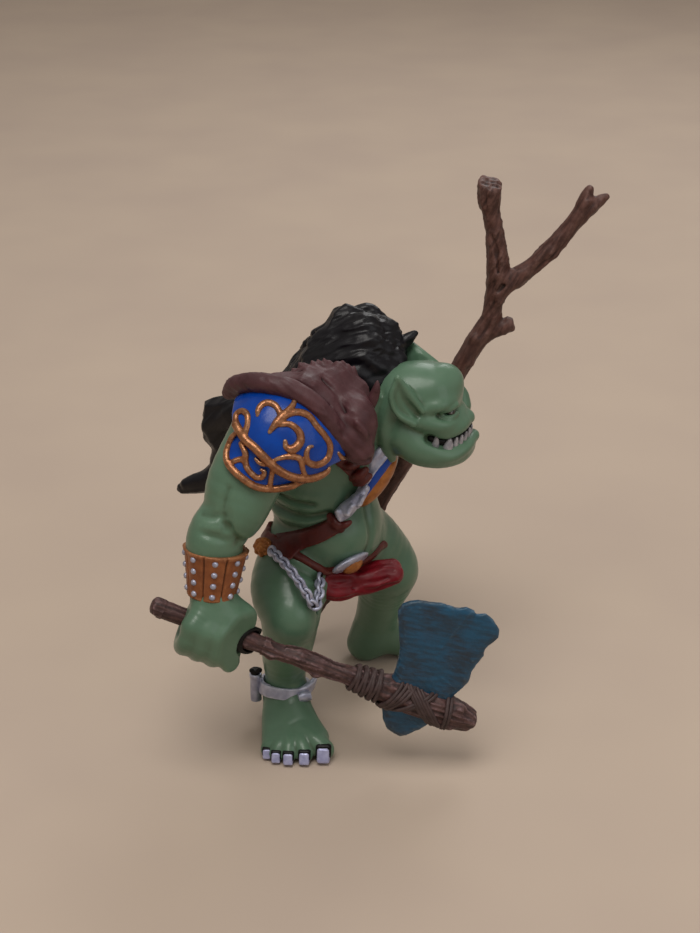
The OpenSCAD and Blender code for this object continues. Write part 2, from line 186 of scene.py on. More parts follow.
def hull(spheres):
    """The convex hull of some spheres."""
    bm = bmesh.new()
    for x, y, z, r in spheres:
        made = bmesh.ops.create_icosphere(bm, subdivisions=1, radius=r)
        bmesh.ops.translate(bm, verts=made["verts"], vec=(x, y, z))
    made = bmesh.ops.convex_hull(bm, input=bm.verts)
    faces = [f for f in made["geom"] if isinstance(f, bmesh.types.BMFace)]
    planes = np.unique(np.round([(*f.normal, f.normal.dot(f.verts[0].co)) for f in faces], 3), axis=0)
    bm.free()
    middle = np.mean([s[:3] for s in spheres], axis=0)
    flip = np.where(planes[:, :3] @ middle > planes[:, 3], -1.0, 1.0)
    planes = planes * flip[:, None]
    s = np.array(spheres, float)

    def distance(x, y, z):
        px, py, pz = open_grid(x, y, z)
        out = np.full((len(x), len(y), len(z)), -FAR, np.float32)
        for n in planes:
            np.maximum(out, px * n[0] + py * n[1] + pz * n[2] - n[3], out=out)
        return out

    return Shape((s[:, :3].T - s[:, 3]).min(1), (s[:, :3].T + s[:, 3]).max(1), distance)


def half_space(point, outward):
    """Everything behind a plane."""
    n = unit(outward)
    level = float(np.dot(n, point))

    def distance(x, y, z):
        px, py, pz = open_grid(x, y, z)
        return px * n[0] + py * n[1] + pz * n[2] - level

    return Shape((-FAR * 4,) * 3, (FAR * 4,) * 3, distance)


def smooth_min(a, b, blend):
    if blend <= 0:
        return np.minimum(a, b)
    h = np.maximum(blend - np.abs(a - b), 0) / blend
    return np.minimum(a, b) - h * h * blend / 4


class Field:
    """Signed distance on a grid: negative inside."""

    def __init__(self, low, high, step):
        self.step = step * RESOLUTION
        self.low = np.array(low, float)
        count = np.ceil((np.array(high, float) - self.low) / self.step).astype(int) + 1
        self.lines = [(self.low[i] + self.step * np.arange(count[i])).astype(np.float32) for i in range(3)]
        self.d = np.full(tuple(count), FAR, np.float32)

    def window(self, shape, pad):
        a = np.floor((shape.low - pad - self.low) / self.step).astype(int)
        b = np.ceil((shape.high + pad - self.low) / self.step).astype(int) + 1
        return tuple(slice(max(0, a[i]), max(0, min(self.d.shape[i], b[i]))) for i in range(3))

    def read(self, shape, pad):
        w = self.window(shape, pad)
        return w, shape.distance(*[self.lines[i][w[i]] for i in range(3)])

    def join(self, shape, blend=0.0):
        w, g = self.read(shape, blend + 2.0)
        if g.size:
            self.d[w] = smooth_min(self.d[w], g, blend)
        return self

    def cut(self, shape, blend=0.0):
        w, g = self.read(shape, blend + 2.0)
        if g.size:
            self.d[w] = -smooth_min(-self.d[w], g, blend)
        return self

    def keep(self, shape, blend=0.0):
        _, g = self.read(shape, FAR)
        self.d = -smooth_min(-self.d, -g, blend)
        return self

    def sample(self, p):
        """Distance at each row of p, between grid points."""
        q = (p - self.low) / self.step
        top = np.array(self.d.shape) - 2
        cell = np.clip(np.floor(q).astype(int), 0, top)
        f = np.clip(q - cell, 0, 1)
        return sum(weight * self.d[tuple((cell + corner).T)] for corner, weight in cell_corners(f))

    def gradient(self, p):
        h = self.step * 0.5
        return np.stack([(self.sample(p + h * u) - self.sample(p - h * u)) / (2 * h) for u in np.eye(3)], axis=1)


# ---- meshes from fields ----
CUBE = np.array(list(np.ndindex(2, 2, 2)))
CUBE_EDGES = [(i, j) for i in range(8) for j in range(i + 1, 8) if np.abs(CUBE[i] - CUBE[j]).sum() == 1]


def surface(field):
    """Vertices and quads of the field's zero surface: one vertex in each cell that the surface crosses."""
    inside = field.d < 0
    count = np.zeros(np.array(inside.shape) - 1, np.int8)
    for c in CUBE:
        count += inside[tuple(slice(c[i], c[i] + count.shape[i]) for i in range(3))]
    active = (count > 0) & (count < 8)
    cells = np.argwhere(active)
    number = np.full(active.shape, -1, np.int64)
    number[active] = np.arange(len(cells))
    values = np.stack([field.d[tuple((cells + c).T)] for c in CUBE], axis=1)
    total = np.zeros((len(cells), 3))
    crossings = np.zeros(len(cells))
    for i, j in CUBE_EDGES:
        a, b = values[:, i], values[:, j]
        m = (a < 0) != (b < 0)
        t = a[m] / (a[m] - b[m])
        total[m] += CUBE[i] + t[:, None] * (CUBE[j] - CUBE[i])
        crossings[m] += 1
    verts = field.low + field.step * (cells + total / crossings[:, None])
    quads = []
    for axis in range(3):
        u, v = (axis + 1) % 3, (axis + 2) % 3
        take = [slice(None)] * 3
        ahead = list(take)
        take[axis], ahead[axis] = slice(None, -1), slice(1, None)
        a, b = inside[tuple(take)], inside[tuple(ahead)]
        edge = np.argwhere(a != b)
        edge = edge[(edge[:, u] > 0) & (edge[:, v] > 0) & (edge[:, u] < active.shape[u])
                    & (edge[:, v] < active.shape[v])]
        du, dv = np.eye(3, dtype=int)[u], np.eye(3, dtype=int)[v]
        q = np.stack([number[tuple((edge - s).T)] for s in (0 * du, du, du + dv, dv)], axis=1)
        starts_inside = a[tuple(edge.T)]
        q[starts_inside] = q[starts_inside][:, ::-1]
        quads.append(q[:, ::-1])
    return verts, np.concatenate(quads)


def relax(verts, quads, rounds=1, share=0.5):
    for _ in range(rounds):
        total, count = np.zeros_like(verts), np.zeros(len(verts))
        for k in range(4):
            a, b = quads[:, k], quads[:, (k + 1) % 4]
            for here, there in ((a, b), (b, a)):
                count += np.bincount(here, minlength=len(verts))
                for i in range(3):
                    total[:, i] += np.bincount(here, weights=verts[there, i], minlength=len(verts))
        verts = verts + share * (total / np.maximum(count, 1)[:, None] - verts)
    return verts


def vertex_normals(verts, quads):
    n = np.cross(verts[quads[:, 2]] - verts[quads[:, 0]], verts[quads[:, 3]] - verts[quads[:, 1]])
    out = np.zeros_like(verts)
    for k in range(4):
        for i in range(3):
            out[:, i] += np.bincount(quads[:, k], weights=n[:, i], minlength=len(verts))
    return out / np.maximum(np.linalg.norm(out, axis=1), 1e-9)[:, None]


def settle(field, verts):
    """Moves the points onto the field's zero surface."""
    for _ in range(2):
        g = field.gradient(verts)
        size = np.maximum((g * g).sum(1), 0.2)
        move = np.clip(field.sample(verts) / size, -field.step, field.step)
        verts = verts - g * move[:, None]
    return verts


def hollows(verts, quads, reach):
    """How far each vertex lies in a hollow (above 0) or on a ridge (below 0), in millimetres."""
    return ((relax(verts, quads, reach, 0.6) - verts) * vertex_normals(verts, quads)).sum(1)


def sculpt(field, relief=None, floor=None):
    """The field's surface, smoothed, with relief(points, normals) in millimetres pushed along the normals."""
    verts, quads = surface(field)
    verts = settle(field, relax(verts, quads, 2))
    verts = relax(verts, quads, 1, 0.35)
    if relief is not None:
        verts = verts + vertex_normals(verts, quads) * relief(verts, vertex_normals(verts, quads))[:, None]
    if floor is not None:
        verts[:, 2] = np.maximum(verts[:, 2], floor)
    return verts, quads


# ---- pieces ----
def add_piece(name, verts, faces, paint, body="figure", stands_for=(), slot=None, wash_and_painted_light=None, normals=None):
    """Makes the object from millimetre points, with the hollow measure that its paint reads for a dark wash and painted
    shade in hollows and for painted highlights on ridges; normals are for a piece that meets its neighbour on one
    continuous surface."""
    mesh = bpy.data.meshes.new(name)
    points = ((np.asarray(verts, float) + SHIFT) * MM).astype(np.float32)
    mesh.vertices.add(len(points))
    mesh.vertices.foreach_set("co", points.ravel())
    sizes = np.array([len(f) for f in faces]) if not isinstance(faces, np.ndarray) else np.full(len(faces), 4)
    loops = np.concatenate([np.asarray(f) for f in faces]) if not isinstance(faces, np.ndarray) else faces.ravel()
    mesh.loops.add(len(loops))
    mesh.loops.foreach_set("vertex_index", loops.astype(np.int32))
    mesh.polygons.add(len(sizes))
    mesh.polygons.foreach_set("loop_start", np.concatenate([[0], np.cumsum(sizes)[:-1]]).astype(np.int32))
    mesh.update(calc_edges=True)
    mesh.validate()
    mesh.shade_smooth()
    if wash_and_painted_light is not None and len(mesh.vertices) == len(points):
        store = mesh.attributes.new("wash_and_painted_light", "FLOAT", "POINT")
        store.data.foreach_set("value", np.asarray(wash_and_painted_light, np.float32))
    if normals is not None and len(mesh.vertices) == len(points):
        mesh.normals_split_custom_set_from_vertices(normals.tolist())
    mesh.materials.append(paint)
    obj = bpy.data.objects.new(name, mesh)
    bpy.context.scene.collection.objects.link(obj)
    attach(obj, body)
    if stands_for:
        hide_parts(*stands_for)
    return obj


def add_sculpt(name, field, paint, relief=None, reach=14, floor=None, **where):
    verts, quads = sculpt(field, relief, floor)
    return add_piece(name, verts, quads, paint, wash_and_painted_light=hollows(verts, quads, reach), **where)


def split(verts, quads, owner_of):
    """Cuts one closed surface into closed pieces, by the owner of each quad's middle. Seams share their points."""
    owner = owner_of(verts[quads].mean(1))
    out = {}
    for part in np.unique(owner):
        mine = quads[owner == part]
        edges = np.concatenate([mine[:, [k, (k + 1) % 4]] for k in range(4)])
        keys = edges[:, 0] * len(verts) + edges[:, 1]
        back = edges[:, 1] * len(verts) + edges[:, 0]
        rim = edges[~np.isin(keys, back)]
        used, packed = np.unique(mine, return_inverse=True)
        where = np.full(len(verts), -1)
        where[used] = np.arange(len(used))
        faces = [tuple(f) for f in packed.reshape(-1, 4)]
        points, parent = verts[used], used
        group = rim_groups(rim)
        extra = []
        for g in group:
            centre = len(points) + len(extra)
            extra.append(verts[np.unique(rim[g])].mean(0))
            faces += [(int(where[b]), int(where[a]), centre) for a, b in rim[g]]
        if extra:
            points = np.vstack([points, extra])
            parent = np.concatenate([parent, [mine[0, 0]] * len(extra)])
        out[int(part)] = (points, faces, parent)
    return out


def rim_groups(rim):
    """Rows of rim grouped into connected loops."""
    leader = {}

    def find(a):
        while leader.setdefault(a, a) != a:
            leader[a] = leader[leader[a]]
            a = leader[a]
        return a

    for a, b in rim.tolist():
        leader[find(a)] = find(b)
    root = np.array([find(a) for a in rim[:, 0].tolist()])
    return [np.where(root == r)[0] for r in np.unique(root)]


def sweep(path, sides, up=(0, 0, 1), closed=False):
    """A round tube along (x, y, z, radius) points."""
    path = np.array(path, float)
    tangent = np.gradient(path[:, :3], axis=0)
    if closed:
        tangent = np.roll(path[:, :3], -1, axis=0) - np.roll(path[:, :3], 1, axis=0)
    tangent /= np.linalg.norm(tangent, axis=1)[:, None]
    side = np.cross(tangent[0], unit(up))
    if np.linalg.norm(side) < 1e-3:
        side = np.cross(tangent[0], (1, 0, 0))
    rings = []
    for i, (p, t) in enumerate(zip(path, tangent)):
        side = unit(side - t * (side @ t))
        over = np.cross(side, t)
        angle = np.arange(sides) * 2 * np.pi / sides
        rings.append(p[:3] + p[3] * (np.cos(angle)[:, None] * side + np.sin(angle)[:, None] * over))
    verts = np.concatenate(rings)
    faces = []
    count = len(path)
    for i in range(count if closed else count - 1):
        n = (i + 1) % count
        for k in range(sides):
            m = (k + 1) % sides
            faces.append((i * sides + k, n * sides + k, n * sides + m, i * sides + m))
    if not closed:
        verts = np.vstack([verts, path[0, :3], path[-1, :3]])
        first, last = len(verts) - 2, len(verts) - 1
        for k in range(sides):
            m = (k + 1) % sides
            faces.append((first, k, m))
            faces.append((last, (count - 1) * sides + m, (count - 1) * sides + k))
    return verts, faces


def rounded(path):
    """The path with a dome added at each end, so that its tube closes round."""
    path = np.array(path, float)
    out = [path]
    for end, inner, before in ((path[0], path[1], True), (path[-1], path[-2], False)):
        way = unit(end[:3] - inner[:3])
        cap = [np.append(end[:3] + way * end[3] * math.sin(a), max(end[3] * math.cos(a), 0.02))
               for a in np.linspace(0, math.pi / 2, 4)[1:]]
        out = [np.array(cap[::-1])] + out if before else out + [np.array(cap)]
    return np.vstack(out)


def gather(parts):
    """Joins (verts, faces) lists into one."""
    verts, faces, start = [], [], 0
    for v, f in parts:
        verts.append(v)
        faces += [tuple(int(i) + start for i in face) for face in f]
        start += len(v)
    return np.vstack(verts), faces


def add_parts(name, parts, paint, **where):
    verts, faces = gather(parts)
    return add_piece(name, verts, faces, paint, **where)


# ---- paints ----
def linear(code):
    """A scene-linear colour from an sRGB hex code."""
    c = [int(code[i : i + 2], 16) / 255 for i in (0, 2, 4)]
    return (*[v / 12.92 if v <= 0.04045 else ((v + 0.055) / 1.055) ** 2.4 for v in c], 1.0)


class Paint:
    """A painted surface: two mixed base tones, a dark wash in hollows that is partly painted shade, light ridges that
    are partly worn paint and partly painted highlights, fine tooth.
    """

    def __init__(self, name):
        self.material = bpy.data.materials.new(name)
        self.material.use_nodes = True
        self.nodes = self.material.node_tree.nodes
        self.links = self.material.node_tree.links
        self.nodes.clear()
        self.out = self.add("ShaderNodeOutputMaterial")
        self.shader = self.add("ShaderNodeBsdfPrincipled")
        self.links.new(self.shader.outputs[0], self.out.inputs["Surface"])
        self.place = self.add("ShaderNodeTexCoord").outputs["Object"]

    def add(self, kind, **values):
        node = self.nodes.new(kind)
        for key, value in values.items():
            setattr(node, key, value)
        return node

    def link(self, a, b):
        self.links.new(a, b)

    def noise(self, size, detail=3.0, rough=0.5, stretch=None):
        """Noise from 0 to 1 with features about size millimetres across, stretched along an axis if asked."""
        node = self.add("ShaderNodeTexNoise")
        node.inputs["Scale"].default_value = 1 / (size * MM)
        node.inputs["Detail"].default_value = detail
        node.inputs["Roughness"].default_value = rough
        source = self.place
        if stretch is not None:
            axis, share = stretch
            spin = self.add("ShaderNodeMapping", vector_type="TEXTURE")
            spin.inputs["Rotation"].default_value = Vector((0, 0, 1)).rotation_difference(Vector(axis)).to_euler()
            spin.inputs["Scale"].default_value = (1, 1, share)
            self.link(source, spin.inputs["Vector"])
            source = spin.outputs[0]
        self.link(source, node.inputs["Vector"])
        return node.outputs["Fac"]

    def spread(self, value, low, high, to_low=0.0, to_high=1.0):
        node = self.add("ShaderNodeMapRange")
        for key, v in (("From Min", low), ("From Max", high), ("To Min", to_low), ("To Max", to_high)):
            node.inputs[key].default_value = v
        self.link(value, node.inputs["Value"])
        return node.outputs["Result"]

    def math(self, how, a, b):
        node = self.add("ShaderNodeMath", operation=how, use_clamp=True)
        for socket, v in zip(node.inputs, (a, b)):
            if isinstance(v, (int, float)):
                socket.default_value = v
            else:
                self.link(v, socket)
        return node.outputs[0]

    def mix(self, share, a, b):
        node = self.add("ShaderNodeMix", data_type="RGBA")
        self.link(share, node.inputs[0])
        for socket, v in ((node.inputs[6], a), (node.inputs[7], b)):
            if isinstance(v, tuple):
                socket.default_value = v
            else:
                self.link(v, socket)
        return node.outputs[2]

    # The hollow measure, read for a wash with painted shade in hollows and for painted highlights on ridges.
    def wash_and_painted_light(self):
        return self.add("ShaderNodeAttribute", attribute_name="wash_and_painted_light").outputs["Fac"]

    def bump(self, height, depth):
        """Fine relief, depth in millimetres."""
        node = self.add("ShaderNodeBump")
        node.inputs["Distance"].default_value = depth * MM
        self.link(height, node.inputs["Height"])
        self.link(node.outputs[0], self.shader.inputs["Normal"])

    def set(self, **values):
        for key, value in values.items():
            self.shader.inputs[key.replace("_", " ")].default_value = value


def painted(name, tones, hollow, ridge, rough, patch=7.0, metal=0.0, coat=0.0, shine=0.36, hollow_at=(0.02, 0.22),
            ridge_at=(0.03, 0.2), ridge_share=0.6, tooth=0.02, grain=None, grain_tone=None, grain_share=0.5):
    """The house recipe for miniature paint, with painted shade in hollows and painted highlights on ridges. hollow_at
    and ridge_at are distances of the hollow measure in millimetres.
    """
    p = Paint(name)
    colour = p.mix(p.spread(p.noise(patch, 4), 0.35, 0.65), linear(tones[0]), linear(tones[1]))
    if grain is not None:
        axis, size, share = grain
        fibre = p.spread(p.noise(size, 4, 0.6, stretch=(axis, share)), 0.42, 0.62)
        colour = p.mix(p.math("MULTIPLY", fibre, grain_share), colour, linear(grain_tone))
    # Hollows turn towards the hollow tone: partly the real wash, partly painted shade.
    breakup = p.spread(p.noise(1.6, 3), 0.3, 0.7, 0.6, 1.0)
    low = p.math("MULTIPLY", p.spread(p.wash_and_painted_light(), hollow_at[0], hollow_at[1]), breakup)
    colour = p.mix(low, colour, linear(hollow))
    # Ridges turn towards the ridge tone: partly worn paint, partly painted highlight.
    wear_and_highlight = p.spread(p.noise(0.9, 4, 0.65), 0.35, 0.65)
    high = p.math("MULTIPLY", p.math("MULTIPLY", p.spread(p.wash_and_painted_light(), -ridge_at[0], -ridge_at[1]), wear_and_highlight), ridge_share)
    colour = p.mix(high, colour, linear(ridge))
    p.link(colour, p.shader.inputs["Base Color"])
    p.link(p.spread(p.noise(2.5, 4), 0.3, 0.7, rough[0], rough[1]), p.shader.inputs["Roughness"])
    p.set(Metallic=metal, Coat_Weight=coat, Coat_Roughness=0.12, Specular_IOR_Level=shine)
    p.bump(p.noise(0.35, 3, 0.6), tooth)
    return p.material


def make_paints():
    stone_axis = tuple(unit(AXE_AXIS))
    # In each paint the third colour is the hollow tone, partly wash and partly painted shade, and the fourth the ridge
    # tone, partly worn paint and partly painted highlight.
    return {
        "skin": painted("skin", ("5c7a64", "52705a"), "343c20", "7c9a7c", (0.28, 0.42), patch=11, coat=0.15,
                        hollow_at=(0.02, 0.36), ridge_at=(0.08, 0.5), ridge_share=0.5, tooth=0.012),
        "hair": painted("hair", ("0a0810", "06050b"), "020203", "191522", (0.3, 0.45), coat=0.05, shine=0.3,
                        ridge_at=(0.05, 0.35), ridge_share=0.3, tooth=0.02),
        "hide": painted("hide", ("533236", "44262a"), "1a0c0d", "775055", (0.38, 0.6), patch=4,
                        ridge_at=(0.03, 0.28), ridge_share=0.5, tooth=0.05),
        "enamel": painted("enamel", ("0043a4", "003890"), "041846", "2a66bd", (0.24, 0.36), patch=5, coat=0.2,
                          shine=0.25,
                          hollow_at=(0.02, 0.3), tooth=0.015),
        "gilt": painted("gilt", ("a9744f", "86563a"), "3f1c0d", "f6dcb8", (0.22, 0.4), patch=1.4, metal=0.7,
                        hollow_at=(0.0, 0.12), ridge_at=(0.02, 0.12), ridge_share=0.8, tooth=0.05),
        "silver": painted("silver", ("b9bccf", "9a9db3"), "20212a", "eef0fb", (0.3, 0.46), patch=2, metal=0.5,
                          hollow_at=(0.01, 0.14), ridge_at=(0.02, 0.15), ridge_share=0.8, tooth=0.03),
        "bracer": painted("bracer_leather", ("955a34", "7d482a"), "2c150a", "c48b60", (0.36, 0.52), patch=2.5,
                          metal=0.25, hollow_at=(0.02, 0.18), ridge_at=(0.03, 0.2), tooth=0.04),
        "strap": painted("strap_leather", ("571d18", "461512"), "190706", "85402f", (0.34, 0.5), patch=3,
                         hollow_at=(0.03, 0.25), tooth=0.04),
        "scarlet": painted("scarlet_cloth", ("7a0a1a", "660815"), "220308", "a8283c", (0.36, 0.52), patch=3,
                           hollow_at=(0.03, 0.3), ridge_at=(0.04, 0.3), tooth=0.03),
        "axe_wood": painted("axe_wood", ("3f2a2b", "30201f"), "0e0808", "937577", (0.42, 0.62), patch=2.6,
                            hollow_at=(0.0, 0.13), ridge_at=(0.02, 0.16), ridge_share=0.85, tooth=0.08,
                            grain=(stone_axis, 0.7, 9), grain_tone="6d4c46"),
        "staff_wood": painted("staff_wood", ("4c2f29", "3b2420"), "150b09", "7f5f57", (0.4, 0.6), patch=3,
                              hollow_at=(0.0, 0.16), ridge_at=(0.01, 0.16), tooth=0.06,
                              grain=(tuple(STAFF_AXIS), 0.7, 9), grain_tone="714d44"),
        "stone": painted("stone", ("243442", "174660"), "090f14", "7b95a4", (0.32, 0.5), patch=5, coat=0.15,
                         hollow_at=(0.02, 0.2), ridge_at=(0.03, 0.2), ridge_share=0.7, tooth=0.06,
                         grain=((0.93, 0.1, -0.2), 0.9, 6), grain_tone="1c6088", grain_share=0.35),
        "cord": painted("cord", ("4c3b3a", "3c2e2d"), "0e0909", "94827f", (0.45, 0.65), patch=1.5,
                        hollow_at=(0.0, 0.1), ridge_at=(0.01, 0.12), tooth=0.05),
        "tooth": painted("tooth", ("a3a1a6", "858289"), "1e1b1d", "dcdce2", (0.2, 0.34), patch=1.2, coat=0.4,
                         hollow_at=(0.02, 0.14), tooth=0.01),
        "nail": painted("nail", ("b3b5d6", "9a9cc2"), "35333f", "dcdae8", (0.26, 0.4), patch=1.2, metal=0.2,
                        hollow_at=(0.02, 0.14), tooth=0.02),
        "black": painted("black", ("070708", "0d0c0c"), "020202", "1c1b1b", (0.34, 0.5), coat=0.0, shine=0.2,
                         tooth=0.01),
        "eye": painted("eye", ("070707", "0e0d0d"), "020202", "1c1b1b", (0.06, 0.12), coat=1.0, tooth=0.002),
        "ochre": painted("ochre", ("b0713a", "94592b"), "472410", "e0ac72", (0.32, 0.46), patch=2.0, metal=0.3,
                         hollow_at=(0.02, 0.2), tooth=0.03),
    }


PAINT = make_paints()


# ---- body ----
TORSO = [
    [(-5, -1, 43, 11), (-4.6, -3.4, 49, 12.4), (-8, 0, 56, 11.5), (-7, -1, 66, 13.3), (-6, 1, 74, 12.5)],
    [(-7, -1, 66, 13.3), (0, -2, 67, 11.5)],
    [(-6, 1, 74, 12.5), (-14, -16, 79, 9)],
    [(-6, 1, 74, 12.5), (-8, 16, 75, 8.5)],
    [(-3, -1, 74, 12), (7, -3, 77, 8)],
]
ARM_RIGHT = [(-18.5, -21, 79, 8.6), (-24.2, -27, 71, 7.5), (-26.4, -29, 64.6, 6.6), (-30, -30, 59.2, 6.2),
             (-30.1, -31, 55, 6), (-31.2, -33, 44, 4.7)]
ARM_LEFT = [(-8, 17, 75, 8.6), (-3, 27, 68, 7), (0, 31, 64.5, 6.6), (7, 30, 64, 5.8), (14, 26.2, 65.6, 4.6),
            (17.6, 24.2, 66.4, 4.2)]
LEG_RIGHT = [(-11.5, -7, 41, 10.4), (-14.4, -15.4, 37.6, 9.1), (-14.1, -19.6, 33.4, 7.1), (-14.2, -18, 28, 6.4),
             (-15.2, -16, 21, 6.0), (-15.8, -14, 12, 4.7), (-16, -12.4, 4, 4.7)]
LEG_LEFT = [(0, 4, 41.8, 10), (4.6, 5.4, 37, 9.3), (8.8, 7.6, 30.4, 8), (8.2, 11, 22, 6.1), (6.6, 15, 12, 5.3),
            (4, 16, 4.2, 4.8)]
TOES_RIGHT = [(-6.2, -31.2, 2.5, 2.5), (-10.7, -32.4, 2.1, 2.0), (-14.5, -32.6, 2, 1.85), (-17.4, -31.8, 1.8, 1.7),
              (-19.6, -30.2, 1.7, 1.6)]
INSTEP_RIGHT = [[(-16, -15, 9, 4.1), (-18.1, -20, 5.8, 3.0), (-18.8, -25.4, 3.6, 2.3), (-19.2, -28.6, 2.4, 1.8)],
                [(-14.8, -16, 9.4, 4.0), (-12.8, -19.6, 6.8, 3.5), (-10.4, -23.4, 4.8, 3.2), (-7.8, -27.4, 3.5, 2.9)]]
TOES_LEFT = [(25, 13.7, 2.5, 2.7), (25.9, 17.5, 2.1, 2.15), (25.4, 20.6, 2, 2.05), (24.2, 23.4, 1.9, 1.9),
             (22.6, 25.6, 1.8, 1.8)]


def add_muscles(f):
    f.join(chain([(-20.8, -26.8, 71, 5.8), (-23.8, -30.4, 65.8, 5.5), (-25.6, -31.2, 62.4, 4.4)]), 0.9)  # right biceps
    f.join(chain([(-30.6, -32, 61.4, 4.3), (-31.6, -32.6, 57.4, 4.6), (-31, -32, 53, 4.2)]), 1.4)  # forearm
    f.join(ellipsoid((-13.6, -23.8, 33.6), (5.2, 5.2, 6)), 3.4)  # right knee
    f.join(chain([(-15.6, -21.4, 29, 4.2), (-16, -18.6, 20, 3.2), (-16.2, -16, 14, 2.2)]), 2.5)  # shin
    f.join(chain([(-14.6, -9.5, 24, 4.6), (-15.4, -9.5, 17, 3.4)]), 3.0)  # calf
    f.join(ellipsoid((11.2, 4, 31.6), (5.2, 5.4, 5.6)), 2.5)  # left knee
    f.join(chain([(9, 16, 25, 4.6), (7.4, 18.4, 17, 3.6)]), 3.0)
    f.join(ellipsoid((-4.4, -8.2, 49), (10.2, 9.4, 8.8)), 1.2)  # belly
    f.join(chain([(-15, -6, 63, 6.5), (-9.5, -10, 60.5, 5), (-4, -11, 60, 4)]), 2.0)  # chest side
    for path in ([(-19, -2, 55.5, 1.3), (-15.8, -9.8, 54.2, 1.5), (-10.5, -13.4, 54.4, 1.3), (-5.5, -14.2, 56, 1)],
                 [(-17.6, -6, 60.5, 1.3), (-14.6, -11, 58.6, 1.4), (-9.5, -13.6, 57.8, 1.2), (-4, -13.6, 58.4, 1)],
                 [(-16.4, -9, 64, 1.3), (-12.6, -12.6, 61.2, 1.4), (-7.5, -13.8, 60.8, 1.1)]):
        f.join(chain(path), 1.6)  # ribs
    for x, y, z in ((-17.5, 9, 66), (-17.5, -8.5, 68)):
        f.join(ellipsoid((x, y, z), (5, 7, 8)), 3)  # shoulder blades


def add_creases(f):
    for path in ([(-20.4, -7, 53, 0.4), (-16.6, -11.6, 52.4, 0.7), (-11, -15, 52.6, 0.7), (-5.4, -15.6, 54.4, 0.4)],
                 [(-19, -9, 57.6, 0.4), (-15.4, -12.6, 56.2, 0.6), (-10.4, -14.6, 55.8, 0.6), (-5, -15, 57.2, 0.4)],
                 [(-17.8, -11, 62, 0.4), (-14, -13.6, 59.8, 0.6), (-8.6, -15.2, 59.2, 0.5)]):
        f.cut(chain(path), 1.2)
    f.cut(chain([(-33, -36, 62.8, 0.3), (-28.6, -36.6, 61.6, 0.7), (-24.6, -35.4, 59.8, 0.7), (-22, -31, 58.6, 0.4)]),
          1.4)
    f.cut(chain([(-27.6, -36, 70.4, 0.2), (-26.8, -36.4, 66.6, 0.5), (-27.4, -36, 63.4, 0.4)]), 1.6)
    f.cut(chain([(-9, -19, 40, 0.4), (-8.6, -22.6, 35.6, 0.5), (-9.6, -23.6, 31.6, 0.4)]), 1.8)
    f.cut(chain([(-19.6, 0, 52, 0.4), (-20.4, 1, 62, 0.8), (-19.4, 1.6, 72, 0.6)]), 2.6)  # spine


def snapped(f, path):
    """The path laid onto the surface of f; any further numbers in a station are kept."""
    path = smooth_path(path, 6)
    for _ in range(4):
        path[:, :3] -= f.gradient(path[:, :3]) * f.sample(path[:, :3])[:, None]
    return path


def add_foot(f, toes, instep, ankle_top):
    f.join(chain([ankle_top, instep]), 3.0)
    heel_way = unit(np.array(instep[:3]) - np.array(toes[2][:3]))
    for t in toes:
        tip = np.array(t[:3])
        start = np.array(instep[:3]) * 0.62 + tip * 0.38 + (0, 0, 1.5)
        mid = start * 0.4 + tip * 0.6 + (0, 0, 0.7)
        f.join(chain([(*start, t[3] * 1.1), (*mid, t[3]), (*(tip + heel_way * 0.3), t[3])]), 0.8)
        f.cut(ball(*(tip - heel_way * t[3] * 0.95 + (0, 0, t[3] * 0.75)), 0.5), 0.6)


def build_body():
    f = Field((-42, -39.5, -1.2), (32, 38, 92), 0.36)
    for c in TORSO:
        f.join(chain(c, reach=5), 4.0)
    f.join(chain(LEG_RIGHT, reach=5), 3.0)
    f.join(chain(LEG_LEFT, reach=5), 3.0)
    add_muscles(f)
    f.join(chain(ARM_RIGHT, reach=4), 2.0)
    f.join(chain(ARM_LEFT, reach=4), 2.0)
    for side in INSTEP_RIGHT:
        f.join(chain(side), 2.5)
    add_foot(f, TOES_RIGHT, (-14, -23.6, 3.2, 4.6), (-15.6, -14.4, 6.6, 4.5))
    add_foot(f, TOES_LEFT, (18, 17.5, 3.4, 4.5), (7, 16, 7, 4.8))
    add_creases(f)
    for fold in ([(-33.4, -33, 66.4, 0.3), (-30.6, -35.4, 66.6, 0.4), (-28.4, -36, 66.2, 0.5), (-27, -36.2, 64.2, 0.5),
                  (-25.4, -36, 61.6, 0.5), (-24.4, -35.4, 59.4, 0.3)],
                 [(-26.6, -34, 72.4, 0.3), (-28, -35.4, 68.8, 0.4), (-28, -35.6, 66.4, 0.4)]):
        f.cut(chain(snapped(f, fold)), 1.3)  # elbow
    for fold in ([(3.6, -8, 58, 0.4), (4.8, -11, 54, 0.6), (5, -12, 49, 0.7), (3.8, -13, 45, 0.6), (1, -14, 42.6, 0.4)],
                 [(-17, -17, 46.6, 0.3), (-12, -19, 44, 0.6), (-7, -18, 41.6, 0.6), (-3, -15, 40.6, 0.4)]):
        f.cut(chain(snapped(f, fold)), 1.8)  # under the belly
    f.keep(half_space((0, 0, 0), (0, 0, -1)), 0.3)
    return f


BODY_PARTS = ["torso", "arm_right", "arm_left", "leg_right", "leg_left"]


def body_part_of(p):
    """Which limb each point belongs to: beyond a shoulder, or below a hip on its own side."""
    owner = np.zeros(len(p), int)
    owner[(p - (-19, -17.5, 74)) @ unit((-0.75, -0.62, -0.2)) > 0] = 1
    owner[(p - (-6, 22.5, 72)) @ unit((0.1, 0.9, -0.35)) > 0] = 2
    low = p[:, 2] < 40.5
    right = p[:, 1] < -1.5 - 0.25 * (p[:, 0] + 5)
    owner[low & right] = 3
    owner[low & ~right] = 4
    return owner


body_field = build_body()
body_points, body_quads = sculpt(body_field, floor=0.0)
